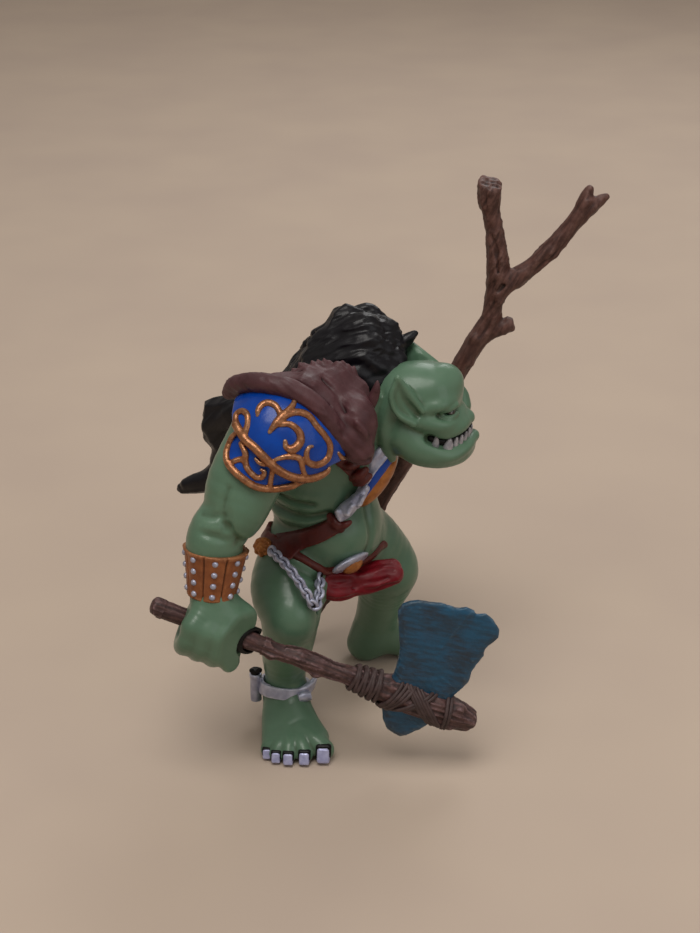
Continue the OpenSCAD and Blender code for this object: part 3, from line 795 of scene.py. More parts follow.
# Hollow measure of the whole body: the skin paint reads it for a wash with painted shade in hollows and painted
# highlights on ridges.
body_wash_and_painted_light = hollows(body_points, body_quads, 26)
body_normals = vertex_normals(body_points, body_quads)
for part, (points, faces, parent) in split(body_points, body_quads, body_part_of).items():
    add_piece("skin_" + BODY_PARTS[part], points, faces, PAINT["skin"], wash_and_painted_light=body_wash_and_painted_light[parent],
              normals=body_normals[parent], stands_for=[BODY_PARTS[part]], slot="skin")


# ---- more shapes ----
def grown(field, by=0.0):
    """A field's own shape, larger by some millimetres."""
    high = field.low + field.step * (np.array(field.d.shape) - 1)

    def distance(x, y, z):
        grid = np.stack(np.meshgrid(x, y, z, indexing="ij"), axis=-1).reshape(-1, 3)
        return field.sample(grid).reshape(len(x), len(y), len(z)) - by

    return Shape(field.low, high, distance)


def flat_distance(u, v, outline):
    """Signed distance to a closed outline in its plane."""
    points = np.array(outline, float)
    near = np.full(np.broadcast(u, v).shape, FAR**2)
    inside = np.zeros(near.shape, bool)
    for a, b in zip(points, np.roll(points, -1, axis=0)):
        e = b - a
        du, dv = u - a[0], v - a[1]
        t = np.clip((du * e[0] + dv * e[1]) / (e @ e), 0, 1)
        near = np.minimum(near, (du - t * e[0]) ** 2 + (dv - t * e[1]) ** 2)
        if a[1] != b[1]:
            inside ^= ((a[1] > v) != (b[1] > v)) & (u < e[0] * (v - a[1]) / e[1] + a[0])
    return np.where(inside, -1, 1) * np.sqrt(near)


def prism(origin, axes, outline, low, high, thickness=None):
    """An outline in the plane of the first two axes, drawn out along the third from low to high, or as thick each
    way as thickness(u, v, distance to the outline) says."""
    origin, axes, points = np.array(origin, float), np.array([unit(a) for a in axes]), np.array(outline, float)
    corners = np.array([origin + u * axes[0] + v * axes[1] + w * axes[2]
                        for u in (points[:, 0].min(), points[:, 0].max())
                        for v in (points[:, 1].min(), points[:, 1].max()) for w in (low, high)])

    def distance(x, y, z):
        p = open_grid(x - origin[0], y - origin[1], z - origin[2])
        u, v, w = [sum(p[i] * axes[k][i] for i in range(3)) for k in range(3)]
        flat = flat_distance(u, v, points)
        if thickness is None:
            return np.maximum(flat, np.maximum(low - w, w - high))
        return np.maximum(flat, (np.abs(w) - thickness(u, v, flat)) * 0.8)

    return Shape(corners.min(0), corners.max(0), distance)


def drum(a, b, r):
    """A cylinder with flat ends at a and b."""
    a, b = np.array(a, float), np.array(b, float)
    axis, half, middle = unit(b - a), np.linalg.norm(b - a) / 2, (a + b) / 2

    def distance(x, y, z):
        p = open_grid(x - middle[0], y - middle[1], z - middle[2])
        along = sum(p[i] * axis[i] for i in range(3))
        radial = np.sqrt(np.maximum(sum(q * q for q in p) - along**2, 0))
        return np.maximum(radial - r, np.abs(along) - half)

    return Shape(np.minimum(a, b) - r, np.maximum(a, b) + r, distance)


def onto(field, origin, axes, points):
    """Drops drawing points (u, v) onto the field from outside, along the third axis."""
    out = []
    steps = np.arange(22, -6, -0.1)
    for u, v in np.asarray(points)[:, :2]:
        line = origin + u * axes[0] + v * axes[1] + steps[:, None] * axes[2]
        d = field.sample(line)
        out.append(line[np.argmax(d < 0) if (d < 0).any() else np.argmin(d)])
    return np.array(out)


def mottle(size, depth, seed):
    """Relief of soft lumps."""
    return lambda p, n: depth * layered_noise(p / size, 3, seed)


def both(*reliefs):
    return lambda p, n: sum(r(p, n) for r in reliefs)


def ringed(centre, axes, radius, profile, turns):
    """Quads of a closed band round the third axis: profile is a loop of (radius added, height) functions of angle."""
    angle = np.arange(turns) * 2 * np.pi / turns
    rows = []
    for out, up in profile:
        r = radius + (out(angle) if callable(out) else out + 0 * angle)
        h = up(angle) if callable(up) else up + 0 * angle
        rows.append(centre + (r * np.cos(angle))[:, None] * axes[0] + (r * np.sin(angle))[:, None] * axes[1]
                    + h[:, None] * axes[2])
    count = len(rows)
    i, k = np.meshgrid(np.arange(count), np.arange(turns), indexing="ij")
    j, m = (i + 1) % count, (k + 1) % turns
    quads = np.stack([i * turns + k, i * turns + m, j * turns + m, j * turns + k], axis=-1).reshape(-1, 4)
    return np.concatenate(rows), quads


def dome(centre, normal, r, height):
    """A round-headed stud."""
    n = unit(normal)
    path = [(*(np.array(centre) - n * 0.3), r)]
    path += [(*(np.array(centre) + n * height * math.sin(a)), max(r * math.cos(a), 0.02))
             for a in np.linspace(0, math.pi / 2, 6)]
    return sweep(path, 14)


# ---- head ----
MIDLINE = -5.2


def both_sides(stations):
    """The stations and their mirror image across the head's midline."""
    return [list(stations), [(x, 2 * MIDLINE - y, z, *r) for x, y, z, *r in stations]]


def mirrored(how, blend, *stations):
    """Joins or cuts a strand and its mirror image."""
    for side in both_sides(stations):
        how(chain(side), blend)


def build_head():
    f = Field((-1, -21, 59), (33, 13.5, 94), 0.25)
    f.join(chain([(4, -3, 76, 8.2), (9, -3.6, 78, 8.2), (13.5, -4.6, 79.5, 8)], reach=5))
    f.join(ellipsoid((14.6, MIDLINE, 82.4), (9.4, 8.3, 8.1)), 2.0)
    f.join(ellipsoid((18.4, MIDLINE, 84), (7.1, 7.3, 6)), 2.0)
    f.join(ellipsoid((21, MIDLINE, 77.6), (6.5, 7.2, 5)), 1.8)
    f.join(ellipsoid((19.8, MIDLINE, 71.6), (8.4, 7.4, 5)), 2.0)
    mirrored(f.join, 1.6, (12.6, -11.2, 75.2, 4.2), (15.6, -12, 72.4, 4.0), (20.4, -11.2, 70.9, 3.8),
                          (24.4, -8.6, 70.5, 3.6), (25.3, MIDLINE, 70.5, 3.6))  # jaw
    mirrored(f.join, 1.4, (17.4, -12.7, 82.4, 1.4), (20.6, -12.2, 82.9, 1.7), (22.7, -9.6, 83.1, 1.8),
                          (23.6, MIDLINE, 83, 1.8))  # brow
    mirrored(f.join, 1.4, (14.6, -12.6, 80, 2.1), (18.6, -13, 78.6, 2.1), (21.9, -12.2, 78.1, 1.9),
                          (24, -9.6, 78.2, 1.4))  # cheekbone
    f.join(chain([(23.8, MIDLINE, 82.2, 1.5), (24.2, MIDLINE, 80, 1.4), (24.9, MIDLINE, 78.2, 1.7)]), 1.2)
    mirrored(f.join, 0.9, (24.2, -7.4, 78, 1.2), (25.3, -6.8, 78.1, 1.0))  # nostril wing
    mirrored(f.join, 1.2, (18.2, -12.6, 76.7, 1.5), (22, -12.1, 76.2, 1.6), (25.4, -9.8, 76.7, 1.5),
                          (27.2, MIDLINE, 77, 1.5))  # upper lip
    mirrored(f.join, 0.7, (16.6, -13.4, 74, 0.9), (18.4, -13.9, 72.1, 1.1), (21, -13.9, 71, 1.15),
                          (23.9, -12.8, 70.7, 1.15), (27, -10, 71.8, 1.2), (28.7, MIDLINE, 72.5, 1.3))  # lower lip
    f.join(ball(20.8, -6.4, 88.2, 1.6), 1.6)
    mirrored(f.cut, 1.0, (20.8, -12.9, 80.9, 0.9), (22.8, -12.3, 80.8, 1.3), (24.9, -10.4, 81.1, 1))  # eye socket
    mirrored(f.join, 0.7, (20.8, -12.1, 80.3, 0.6), (22.6, -12, 79.8, 0.75), (24.3, -10.6, 80.4, 0.6))  # lower lid
    mirrored(f.join, 0.7, (20.8, -12.4, 81.7, 0.6), (22.6, -12.2, 82, 0.65), (24.3, -10.7, 82.5, 0.6))  # upper lid
    mirrored(f.join, 2.6, (20, -8.6, 85.4, 2.4), (22.2, MIDLINE, 86.2, 3))  # corner of the forehead
    mirrored(f.cut, 0.7, (18.2, -13.8, 75.4, 1.25), (19.8, -13.6, 74.3, 1.15), (22.4, -13, 73.6, 1.1),
                         (25, -11.6, 74.2, 0.95), (27.6, -8.8, 74.9, 0.9), (28.9, MIDLINE, 75.1, 0.9))  # mouth
    mirrored(f.cut, 0.6, (19, -11.6, 74.6, 0.9), (22, -11, 73.8, 1.2), (24.8, -9.4, 74.2, 1.2),
                         (26.6, MIDLINE, 74.9, 1.2))  # mouth, inner part
    mirrored(f.cut, 0.4, (25.7, -6.5, 78.2, 0.4), (26.6, -6.3, 77.9, 0.35))  # nostril
    add_ears(f)
    for path in ([(9.4, -11.4, 85, 1.2), (8, -12, 79, 1.7), (8.4, -11.6, 73, 1.5), (9.6, -10, 69, 1.2)],
                 [(13, -12.2, 80.4, 1.2), (11.6, -12.2, 76, 1.5), (11.8, -11.2, 71.6, 1.3)],
                 [(5.6, -10.6, 84.4, 1.3), (4, -11.6, 78, 1.8), (4.4, -11.4, 72, 1.4)]):
        f.join(chain(path), 1.6)  # neck cords
    return f


def add_ears(f):
    near = [(10.6, -14.9, 90.8, 0.7), (9.4, -14.9, 86.6, 0.9), (11.2, -14.6, 82.6, 0.9), (14.8, -14, 79.6, 1.0),
            (16.4, -12.4, 81.4, 1.5), (12.6, -12.6, 87.6, 0.9)]
    f.join(hull(near), 0.8)
    f.join(chain([(10.7, -15.3, 90.9, 0.6), (13.2, -14.6, 86.8, 0.85), (16.2, -14, 82.4, 0.95)]), 0.5)
    f.join(chain([(10.4, -15.2, 90.4, 0.5), (9.2, -15.6, 86.4, 0.75), (11, -15.6, 82.2, 0.8),
                  (14.4, -15, 79.6, 0.9)]), 0.5)
    f.cut(chain([(11.2, -15.9, 88, 0.4), (12.1, -15.8, 85.8, 0.85), (13.5, -15.4, 83.8, 1.0),
                 (15.3, -14.8, 81.6, 0.9)]), 0.3)
    f.cut(chain([(10.4, -16.4, 86, 0.3), (11.2, -16.4, 83.6, 0.5), (13.2, -16.2, 81.8, 0.3)]), 0.8)
    f.join(chain([(13.6, -14.4, 80.4, 0.9), (15.2, -14, 79, 0.8), (15.8, -13.6, 78.2, 0.6)]), 0.6)  # lobe
    far = [(13.8, 4.6, 92.2, 0.6), (13.4, 3.2, 87.6, 1.1), (20, 1.4, 87.2, 1.4), (16.6, 2, 89.8, 1.3), (13, 3, 82, 1.5)]
    f.join(hull(far), 0.8)
    f.cut(chain([(14.6, 5.4, 89.4, 0.3), (14.8, 4.8, 86.6, 0.7)]), 0.6)


def build_teeth():
    """A row along the lower lip, tallest near the corners; mirrored."""
    parts = []
    rise = np.array([0.12, 0, 1])
    lower = [(19.5, -12.6, 73, 1.0, 2.2), (22.4, -12.3, 72, 1.35, 2.4), (24, -11.5, 72.2, 0.8, 2.4),
             (25.2, -10.7, 72.5, 0.75, 2.3), (26.2, -9.5, 73, 0.7, 2.2), (27, -8.1, 73.4, 0.7, 2.1),
             (27.6, -6.5, 73.6, 0.65, 1.9)]
    for x, y, z, r, tall in lower:
        for side in (y, 2 * MIDLINE - y):
            out = unit((x - 20, side - MIDLINE, 0)) * 0.35
            start = np.array([x, side, z])
            path = [(*(start + rise * tall * t + out * t), r * 0.94 * (1 - 0.5 * t**2.4)) for t in np.linspace(0, 1, 6)]
            parts.append(sweep(rounded(path), 10))
    return parts


head_field = build_head()
HEAD_SEAM = half_space((4.4, -3, 76), (-1, 0, -0.25))
head_field.keep(HEAD_SEAM)
add_sculpt("skin_head", head_field, PAINT["skin"], reach=24, stands_for=["head"], slot="skin")


EYE_X, EYE_Y, EYE_Z, EYE_R = 22.9, -10.9, 80.9, 1.15


def build_eyes():
    parts = []
    for y in (EYE_Y, 2 * MIDLINE - EYE_Y):
        rings = [(EYE_X, y, EYE_Z + EYE_R * math.sin(a), EYE_R * math.cos(a)) for a in np.linspace(-1.3, 1.3, 12)]
        parts.append(sweep([(EYE_X, y, EYE_Z - EYE_R, 0.02), *rings, (EYE_X, y, EYE_Z + EYE_R, 0.02)], 20))
    return parts


add_parts("eyes_painted", build_eyes(), PAINT["eye"], stands_for=["eyes"], slot="eye")
add_parts("eye_glints", [dome((23.1, y, 81.1), (0.2, way, 0.3), 0.22, 0.16) for y, way in ((-12, -1), (1.6, 1))],
          PAINT["tooth"], slot="eye")
add_parts("teeth_row", build_teeth(), PAINT["tooth"], stands_for=["teeth"], slot="tooth")
mouth_dark = Field((14, -14, 70), (30, 4, 79), 0.3)
for line in both_sides([(18.4, -12.6, 75, 0.8), (20.4, -12, 74.1, 1.0), (22.6, -11.4, 73.8, 1.1), (25, -10, 74.4, 1.0),
                        (27, -7.6, 75, 0.9), (27.6, MIDLINE, 75.1, 0.9)]):
    mouth_dark.join(chain(line))
add_sculpt("mouth_hollow", mouth_dark, PAINT["black"], slot="eye")


# ---- fists ----
def local_point(origin, along, over, out, s, h, o):
    return np.asarray(origin) + np.asarray(along) * s + np.asarray(over) * h + np.asarray(out) * o


def add_fist(f, origin, along, over, out, size, wrist, hole, soft=0.7, spread=(-6.2, -2.1, 2.0, 5.6), thumb=1.0):
    """A closed fist round a shaft: along runs down the shaft to the thumb, out points at the knuckles. A soft fist
    hardly shows its fingers."""
    def at(s, h, o, r=None):
        p = local_point(origin, along, over, out, s * size, h * size, o * size)
        return tuple(p) if r is None else (*p, r * size)

    f.join(ellipsoid(at(-0.4, 0.4, 0.4), np.array((7.2, 5.6, 5.4)) * size, (along, over, out)))
    for i, s in enumerate(spread):
        girth = (2.2, 2.45, 2.5, 2.4)[i]
        f.join(chain([(*wrist[:3], wrist[3] * 0.62), at(s * 0.8, 4.2, 3.0, 2.9), at(s, 1.4, 5.2, girth * 1.12)]), 1.6)
        f.join(chain([at(s, 1.4, 5.2, girth * 1.1), at(s, -2.6, 5.2, girth), at(s, -5.6, 2.4, girth * 0.98),
                      at(s, -6.0, -1.4, girth * 0.95), at(s, -3.4, -4.4, girth * 0.9),
                      at(s, -0.4, -4.6, girth * 0.8)]), soft)
    f.join(chain([(*wrist[:3], wrist[3] * 0.7), at(3.4 * thumb, 5.8, -0.6, 2.9), at(7.2 * thumb, 5.2, 0.2, 2.5),
                  at(8.9 * thumb, 2.6, 1.2, 2.2), at(9.0 * thumb, 0.2, 2.4, 1.9)]), 1.0)
    f.join(capsule(wrist, (*(np.array(wrist[:3]) * 0.4 + np.array(at(-0.4, 3, 0.4)) * 0.6), wrist[3] * 0.95)), 2.0)
    f.cut(capsule((*at(-30, 0, 0), hole), (*at(30, 0, 0), hole)), 0.3)


AXE_OVER = -np.cross(Y, AXE_AXIS)
STAFF_OVER = np.cross(STAFF_AXIS, Y)
HANDLE_R = 2.4
STAFF_R = 2.3
FIST_ON_STAFF = 73.2


def fist_mouth(ahead):
    """What lies behind the slanting plane in which the fist opens, some millimetres ahead of the grip."""
    return half_space(AXE_GRIP + AXE_AXIS * ahead + (0, -3, 0), unit(AXE_AXIS + (0, -0.8, 0.2)))


fist = Field((-45, -47, 24), (-16, -21, 50), 0.26)
add_fist(fist, AXE_GRIP, AXE_AXIS, AXE_OVER, (0, -1, 0), 1.02, (-31, -33.2, 45.4, 4.9), HANDLE_R + 0.1,
         soft=1.3, spread=(-4.8, -1.4, 2.2, 6.2), thumb=0.84)
fist.keep(fist_mouth(6.7), 1.0)
fist.cut(capsule((*(AXE_GRIP + AXE_AXIS * 2.4 - (0.2, 0, 0.3)), 3.35), (*(AXE_GRIP + AXE_AXIS * 16), 3.5)), 0.3)
add_sculpt("skin_hand_right", fist, PAINT["skin"], reach=20, stands_for=["hand_right"], slot="skin")
hollow = Field((-36, -40, 30), (-20, -26, 45), 0.22)
hollow.join(drum(AXE_GRIP + AXE_AXIS * 1.6, AXE_GRIP + AXE_AXIS * 11, 3.4))
hollow.keep(fist_mouth(7.1), 0.5)
hollow.cut(drum(AXE_GRIP - AXE_AXIS, AXE_GRIP + AXE_AXIS * 12, 2.6))
add_sculpt("fist_hollow", hollow, PAINT["black"], reach=6, slot="skin")

staff_grip = STAFF_FOOT + STAFF_AXIS * FIST_ON_STAFF
fist = Field((8, 10, 52), (34, 36, 82), 0.3)
add_fist(fist, staff_grip, STAFF_AXIS, -STAFF_OVER, Y, 0.84, (15.6, 25.4, 65.8, 4.5), STAFF_R + 0.1)
add_sculpt("skin_hand_left", fist, PAINT["skin"], reach=20, stands_for=["hand_left"], slot="skin")


# ---- hair ----
MANE = [
    [(10.8, 2, 89.4, 3.3), (7.6, 3, 95.5, 3.6), (8, -2, 86, 4), (9, 6, 86, 4)],
    [(8, 3, 95.5, 3.6), (-1, 4, 98, 3.6), (8, -2, 86, 4), (-6, -2, 86, 4.5), (9, 6, 86, 4), (-6, 9, 85, 4.5)],
    [(-1, 4, 98, 3.6), (-8, 4, 87, 4.5), (-6, -2, 86, 4.5), (-6, 9, 85, 4.5)],
    [(-8, 4, 87, 4.5), (-6, 9, 85, 4.5), (-15, 7, 77, 4.5), (-13, 12, 76, 4)]]
TAIL = [
    [(-15, 3, 76, 4), (-15, 12, 75, 4), (-27, 8, 72, 4), (-26, 14, 71, 3.4)],
    [(-27, 8, 74, 3.8), (-26, 14, 71, 3.4), (-33, 11, 72.4, 3.2), (-32.6, 11, 66, 3.8), (-29, 12, 60, 3.6)],
    [(-29, 12, 60, 3.6), (-34, 13, 52.6, 3.0)],
    [(-34, 13, 52, 3.0), (-37.4, 13.4, 51, 3.0), (-41.4, 14, 49.6, 2.1)]]
dice = np.random.default_rng(7)


def between(a, b, t):
    return np.array(a, float) * (1 - t) + np.array(b, float) * t


def shrunk(groups, by):
    return [[(x, y, z, r - by) for x, y, z, r in g] for g in groups]


def add_locks(f, count, front, middle, back, size, blend=0.8):
    """Broad locks of hair side by side, each from front through middle to back; those three are rows to slide along."""
    for i in range(count):
        t = (i + 0.5) / count
        jitter = dice.normal(0, 0.25, (3, 3))
        path = [slide(row, t) + j for row, j in zip((front, middle, back), jitter)]
        r = size * dice.uniform(0.8, 1.2)
        f.join(chain([(*path[0], r * 0.6), (*between(path[0], path[1], 0.5), r), (*path[1], r * 1.05),
                      (*between(path[1], path[2], 0.55), r), (*path[2], r * 0.7)]), blend)


def slide(row, t):
    row = np.array(row, float)
    place = t * (len(row) - 1)
    i = min(int(place), len(row) - 2)
    return between(row[i], row[i + 1], place - i)


def build_mane():
    f = Field((-24, -12, 70), (21, 19, 104), 0.3)
    for g in shrunk(MANE, 0.6):
        f.join(hull(g), 2.5)
    near_front = [(7.6, -8.2, 83.4), (10.6, -6, 87), (12.4, -1.8, 90.4), (10.6, 2.2, 95.4)]
    near_middle = [(0, -7.4, 87), (2, -6.2, 91.4), (3.4, -3.8, 95.6), (3.4, 1.4, 100)]
    near_back = [(-12, -4.4, 84.6), (-11, -3.6, 87.4), (-9.6, -1.4, 91), (-7, 2.6, 95.4)]
    add_locks(f, 15, near_front, near_middle, near_back, 1.3)
    mirror = [[(x, 7.6 - y, z - 0.4) for x, y, z in row] for row in (near_front, near_middle, near_back)]
    add_locks(f, 13, *mirror, 1.3)
    add_locks(f, 6, [(-4, -3.6, 91), (-5, 9, 91)], [(-11, -3.6, 85.6), (-12, 13, 84.6)],
              [(-18, -1, 78), (-18, 12, 76)], 1.5)
    f.join(chain([(11.6, 2, 92.2, 1.7), (13.6, 2.6, 93.6, 1.3), (15, 3, 94.7, 0.7)]), 0.6)
    return f


def build_tail():
    f = Field((-47, -3, 43), (-8, 21, 84), 0.3)
    for g in shrunk(TAIL, 0.4):
        f.join(hull(g), 2.5)
    add_locks(f, 7, [(-14, 0.4, 77), (-15, 14, 76.4)], [(-26, 5, 75), (-26, 15.6, 73)],
              [(-34.6, 9, 68.6), (-32, 15, 64)], 1.7, 1.2)
    add_locks(f, 6, [(-20, 2, 71), (-20, 14, 71)], [(-29, 8, 66), (-28, 15, 65)],
              [(-33.6, 10.4, 58.6), (-31, 14.6, 57)], 1.6, 1.2)
    add_locks(f, 4, [(-29, 10, 60), (-28.6, 14, 60)], [(-34.8, 11.4, 54), (-34, 14.6, 53)],
              [(-40.6, 13, 51), (-39, 15, 49.6)], 1.4, 1.0)
    return f


def fibres(axis, size, depth, seed):
    """Relief of fine lines that run along an axis."""
    axis = unit(axis)

    def relief(p, n):
        along = p @ axis
        across = p - along[:, None] * axis
        return depth * ridges(across / size + axis * (along / size / 9)[:, None] + seed * 17.3, seed)

    return relief


add_sculpt("hair_mane_locks", build_mane(), PAINT["hair"], relief=fibres((1, 0.1, 0.3), 1.2, 0.2, 3), reach=10,
           stands_for=["hair_mane"], slot="hair")
add_sculpt("hair_tail_locks", build_tail(), PAINT["hair"], relief=fibres((-0.6, 0.2, -0.7), 1.7, 0.2, 5), reach=10,
           stands_for=["hair_tail"], slot="hair")


# ---- shoulder guard ----
GUARD = np.array([-15.6, -21, 78.4])
LEAN = math.radians(25)
GUARD_AXES = np.array([(1, 0, 0), (0, math.sin(LEAN), math.cos(LEAN)), (0, -math.cos(LEAN), math.sin(LEAN))])
DRAWN_FROM = GUARD + 0.35 * GUARD_AXES[0] + 2.4 * GUARD_AXES[1]  # origin of the (u, v) points below
NARROW = 0.93  # the pattern is drawn a little wider than it sits
BAND = [(-11.6, 1.4), (-10.5, 0.7), (-8.5, -2.2), (-5.9, -4.4), (-3.2, -6.9), (-0.6, -9.1), (3, -10.7), (7.2, -10.9),
        (10.1, -9.8), (11.6, -8.2)]
DOME = BAND + [(14.2, -7), (16.6, -4.4), (16, 2), (12, 6), (6, 8.4), (0, 10.4), (-7.6, 10.4), (-11.2, 7.6),
               (-11.8, 3.4)]
LAME = [(-10.8, 1.6), (-11.4, -1.3), (-12.4, -3.3), (-13.1, -5.8), (-12.4, -8.2), (-9.8, -10.6), (-6.2, -12.9),
        (-1.9, -13.5), (2.3, -12.9), (4.8, -11.8), (7.2, -10.4), (3, -10), (-0.6, -8.4), (-3.2, -6.2), (-5.9, -3.7),
        (-8.5, -1.5)]
SCROLLS = [
    [(-5.4, 2.7, 0.35), (-5.2, 3.9, 0.6), (-4.2, 5.1, 0.68), (-2.6, 5.4, 0.7), (-0.9, 4.5, 0.62), (0.3, 2.2, 0.6)],
    [(-2.5, -0.9, 0.4), (-1.1, 0.8, 0.75), (0.3, 2.2, 0.85), (2.3, 4.3, 0.62), (3.1, 5.6, 0.5), (2.8, 7, 0.3)],
    [(0.3, 2.2, 0.6), (3.4, 3.4, 0.72), (6.3, 2.7, 0.72), (8.3, 0.4, 0.66), (10.3, -1.8, 0.66), (11.4, -4, 0.7),
     (10.7, -6.7, 0.7), (8.3, -8, 0.68), (6.3, -7.3, 0.62), (6, -5.4, 0.55), (6.6, -4.2, 0.4), (7.4, -4, 0.3)],
    [(-0.1, 0.7, 0.5), (2.3, 0.7, 0.62), (4.3, -0.9, 0.72), (4.6, -2.9, 0.8), (3, -4.6, 0.85), (1.4, -4.2, 0.6),
     (1.1, -2.9, 0.4)],
    [*((u, v, 0.85) for u, v in BAND[1:-2]), (10.3, -9.7, 0.7), (11.2, -8.7, 0.4)],
    [(-10.6, 0.9, 0.7), (-10.5, 2.9, 0.62), (-9.2, 3.7, 0.62), (-7.9, 2.9, 0.62), (-7.7, 0.9, 0.6), (-8.5, -2, 0.7)],
    [(-1.2, -6.9, 0.35), (1, -6.3, 0.55), (3.2, -6.3, 0.6), (4.6, -6.9, 0.6), (5.2, -9.3, 0.5), (5.8, -10.4, 0.45)],
    [(-10.2, -0.9, 0.4), (-11.5, -1.9, 0.55), (-12.3, -3.5, 0.6), (-12.9, -5.8, 0.65), (-12.2, -8, 0.7),
     (-9.7, -10.4, 0.72), (-6.1, -12.7, 0.72), (-1.9, -13.3, 0.72), (2.3, -12.7, 0.68), (4.6, -11.7, 0.6),
     (6.6, -11, 0.5)],
    [(-9.4, -3.4, 0.45), (-8.3, -5.4, 0.6), (-8.3, -7.3, 0.65), (-7.7, -9, 0.6), (-5.9, -10.7, 0.6),
     (-4.3, -10.6, 0.55),
     (-3.8, -9.6, 0.45), (-4.6, -9.1, 0.3)],
    [(-11.8, -7.6, 0.5), (-10, -6.9, 0.6), (-8.5, -6.9, 0.6)],
    [(-5.9, -6.7, 0.3), (-4.9, -7.6, 0.42), (-3.6, -8, 0.4)],
    [(-1.6, -8.6, 0.5), (-2.2, -10.4, 0.5), (-2.6, -12.6, 0.5)],
    [(13.4, -5.4, 0.35), (14.2, -6.4, 0.5), (15, -6.6, 0.3)]]

FACING = half_space((0, -19.6, 0), (0, 1, 0))


def drawn(stations):
    """Stations of the pattern, brought to the width that it has on the guard."""
    return [(u * NARROW + 0.2, *rest) for u, *rest in stations]


def guard_field():
    return Field((-32, -39, 63), (4, -17, 94), 0.25)


def guard_ball(grow=0.0):
    return ellipsoid(GUARD, (13.8 + grow, 14 + grow, 13.6 + grow), GUARD_AXES)


def guard_plate(skin, outline):
    """The part of a skin inside a drawn outline, on the side that faces out."""
    return skin.keep(prism(DRAWN_FROM, GUARD_AXES, drawn(outline), -2, 22), 0.3).keep(FACING, 0.3)


guard_skin = guard_field().join(guard_ball())
guard_skin.join(ellipsoid(GUARD + (4.6, 1.6, -0.6), (11.6, 11.6, 10.6), GUARD_AXES), 2.5)
lame_skin = guard_field().join(guard_ball(-0.5)).join(grown(body_field, 1.1), 1.2)
whole_guard = guard_field()
whole_guard.d = np.minimum(guard_skin.d, lame_skin.d)

scrolls = Field((-33, -39, 61), (5, -17, 92), 0.19)
for stroke in SCROLLS:
    path = smooth_path(drawn(stroke))
    laid = np.column_stack([onto(whole_guard, DRAWN_FROM, GUARD_AXES, path), path[:, 2] * 1.22])
    scrolls.join(chain(laid, 1, 2), 0.35)
add_sculpt("pauldron_scrolls", scrolls, PAINT["gilt"], relief=mottle(0.8, 0.05, 11), reach=6, slot="gilt")

dome_plate = guard_plate(guard_skin, DOME).cut(guard_ball(-1.4))
add_sculpt("pauldron_enamel", dome_plate, PAINT["enamel"], relief=mottle(1.6, 0.05, 12), reach=10,
           stands_for=["pauldron_dome"], slot="enamel")
lame_plate = guard_plate(lame_skin, LAME).cut(grown(body_field, -0.3))
add_sculpt("pauldron_lame_enamel", lame_plate, PAINT["enamel"], relief=mottle(1.2, 0.06, 13), reach=10,
           stands_for=["pauldron_lame"], slot="enamel")


# ---- pelt ----
PELT = [
    [(-25.4, -17, 88.4, 1.8), (-18.4, -21, 91.4, 2), (-14, -17, 90.8, 1.6), (-16, -10, 86, 2.2), (-24, -12, 85, 2)],
    [(-18.4, -21, 91.4, 2), (-11, -22, 90.4, 2.2), (-9.3, -15, 91.6, 1.8), (-10, -7, 87, 2.5), (-14, -17, 90.8, 1.6)],
    [(-11, -22, 90.4, 2.2), (-6, -22.5, 85.5, 2.4), (-2.2, -13.4, 91.4, 1.9), (-9.3, -15, 91.6, 1.8),
     (-4, -6, 86, 2.5)],
    [(-6, -22.5, 85.5, 2.4), (-2.2, -13.4, 91.4, 1.9), (2.2, -14.6, 88.8, 1.9), (3, -17, 85.4, 2.2),
     (-2, -21.4, 80.4, 2.8)]]
ROLL = [(-27.2, -16.4, 88, 1.5), (-25.6, -18.4, 90.6, 1.9), (-21.8, -21.4, 92.4, 2.2), (-17.9, -23.4, 92.9, 2.3),
        (-14.2, -24.6, 92.6, 2.3), (-10.9, -25.3, 91.3, 2.2), (-8, -25.8, 89.2, 2.2), (-5.7, -25.8, 86.2, 2.3),
        (-3.9, -25.4, 82.8, 2.3), (-2.9, -24.8, 79.2, 2)]


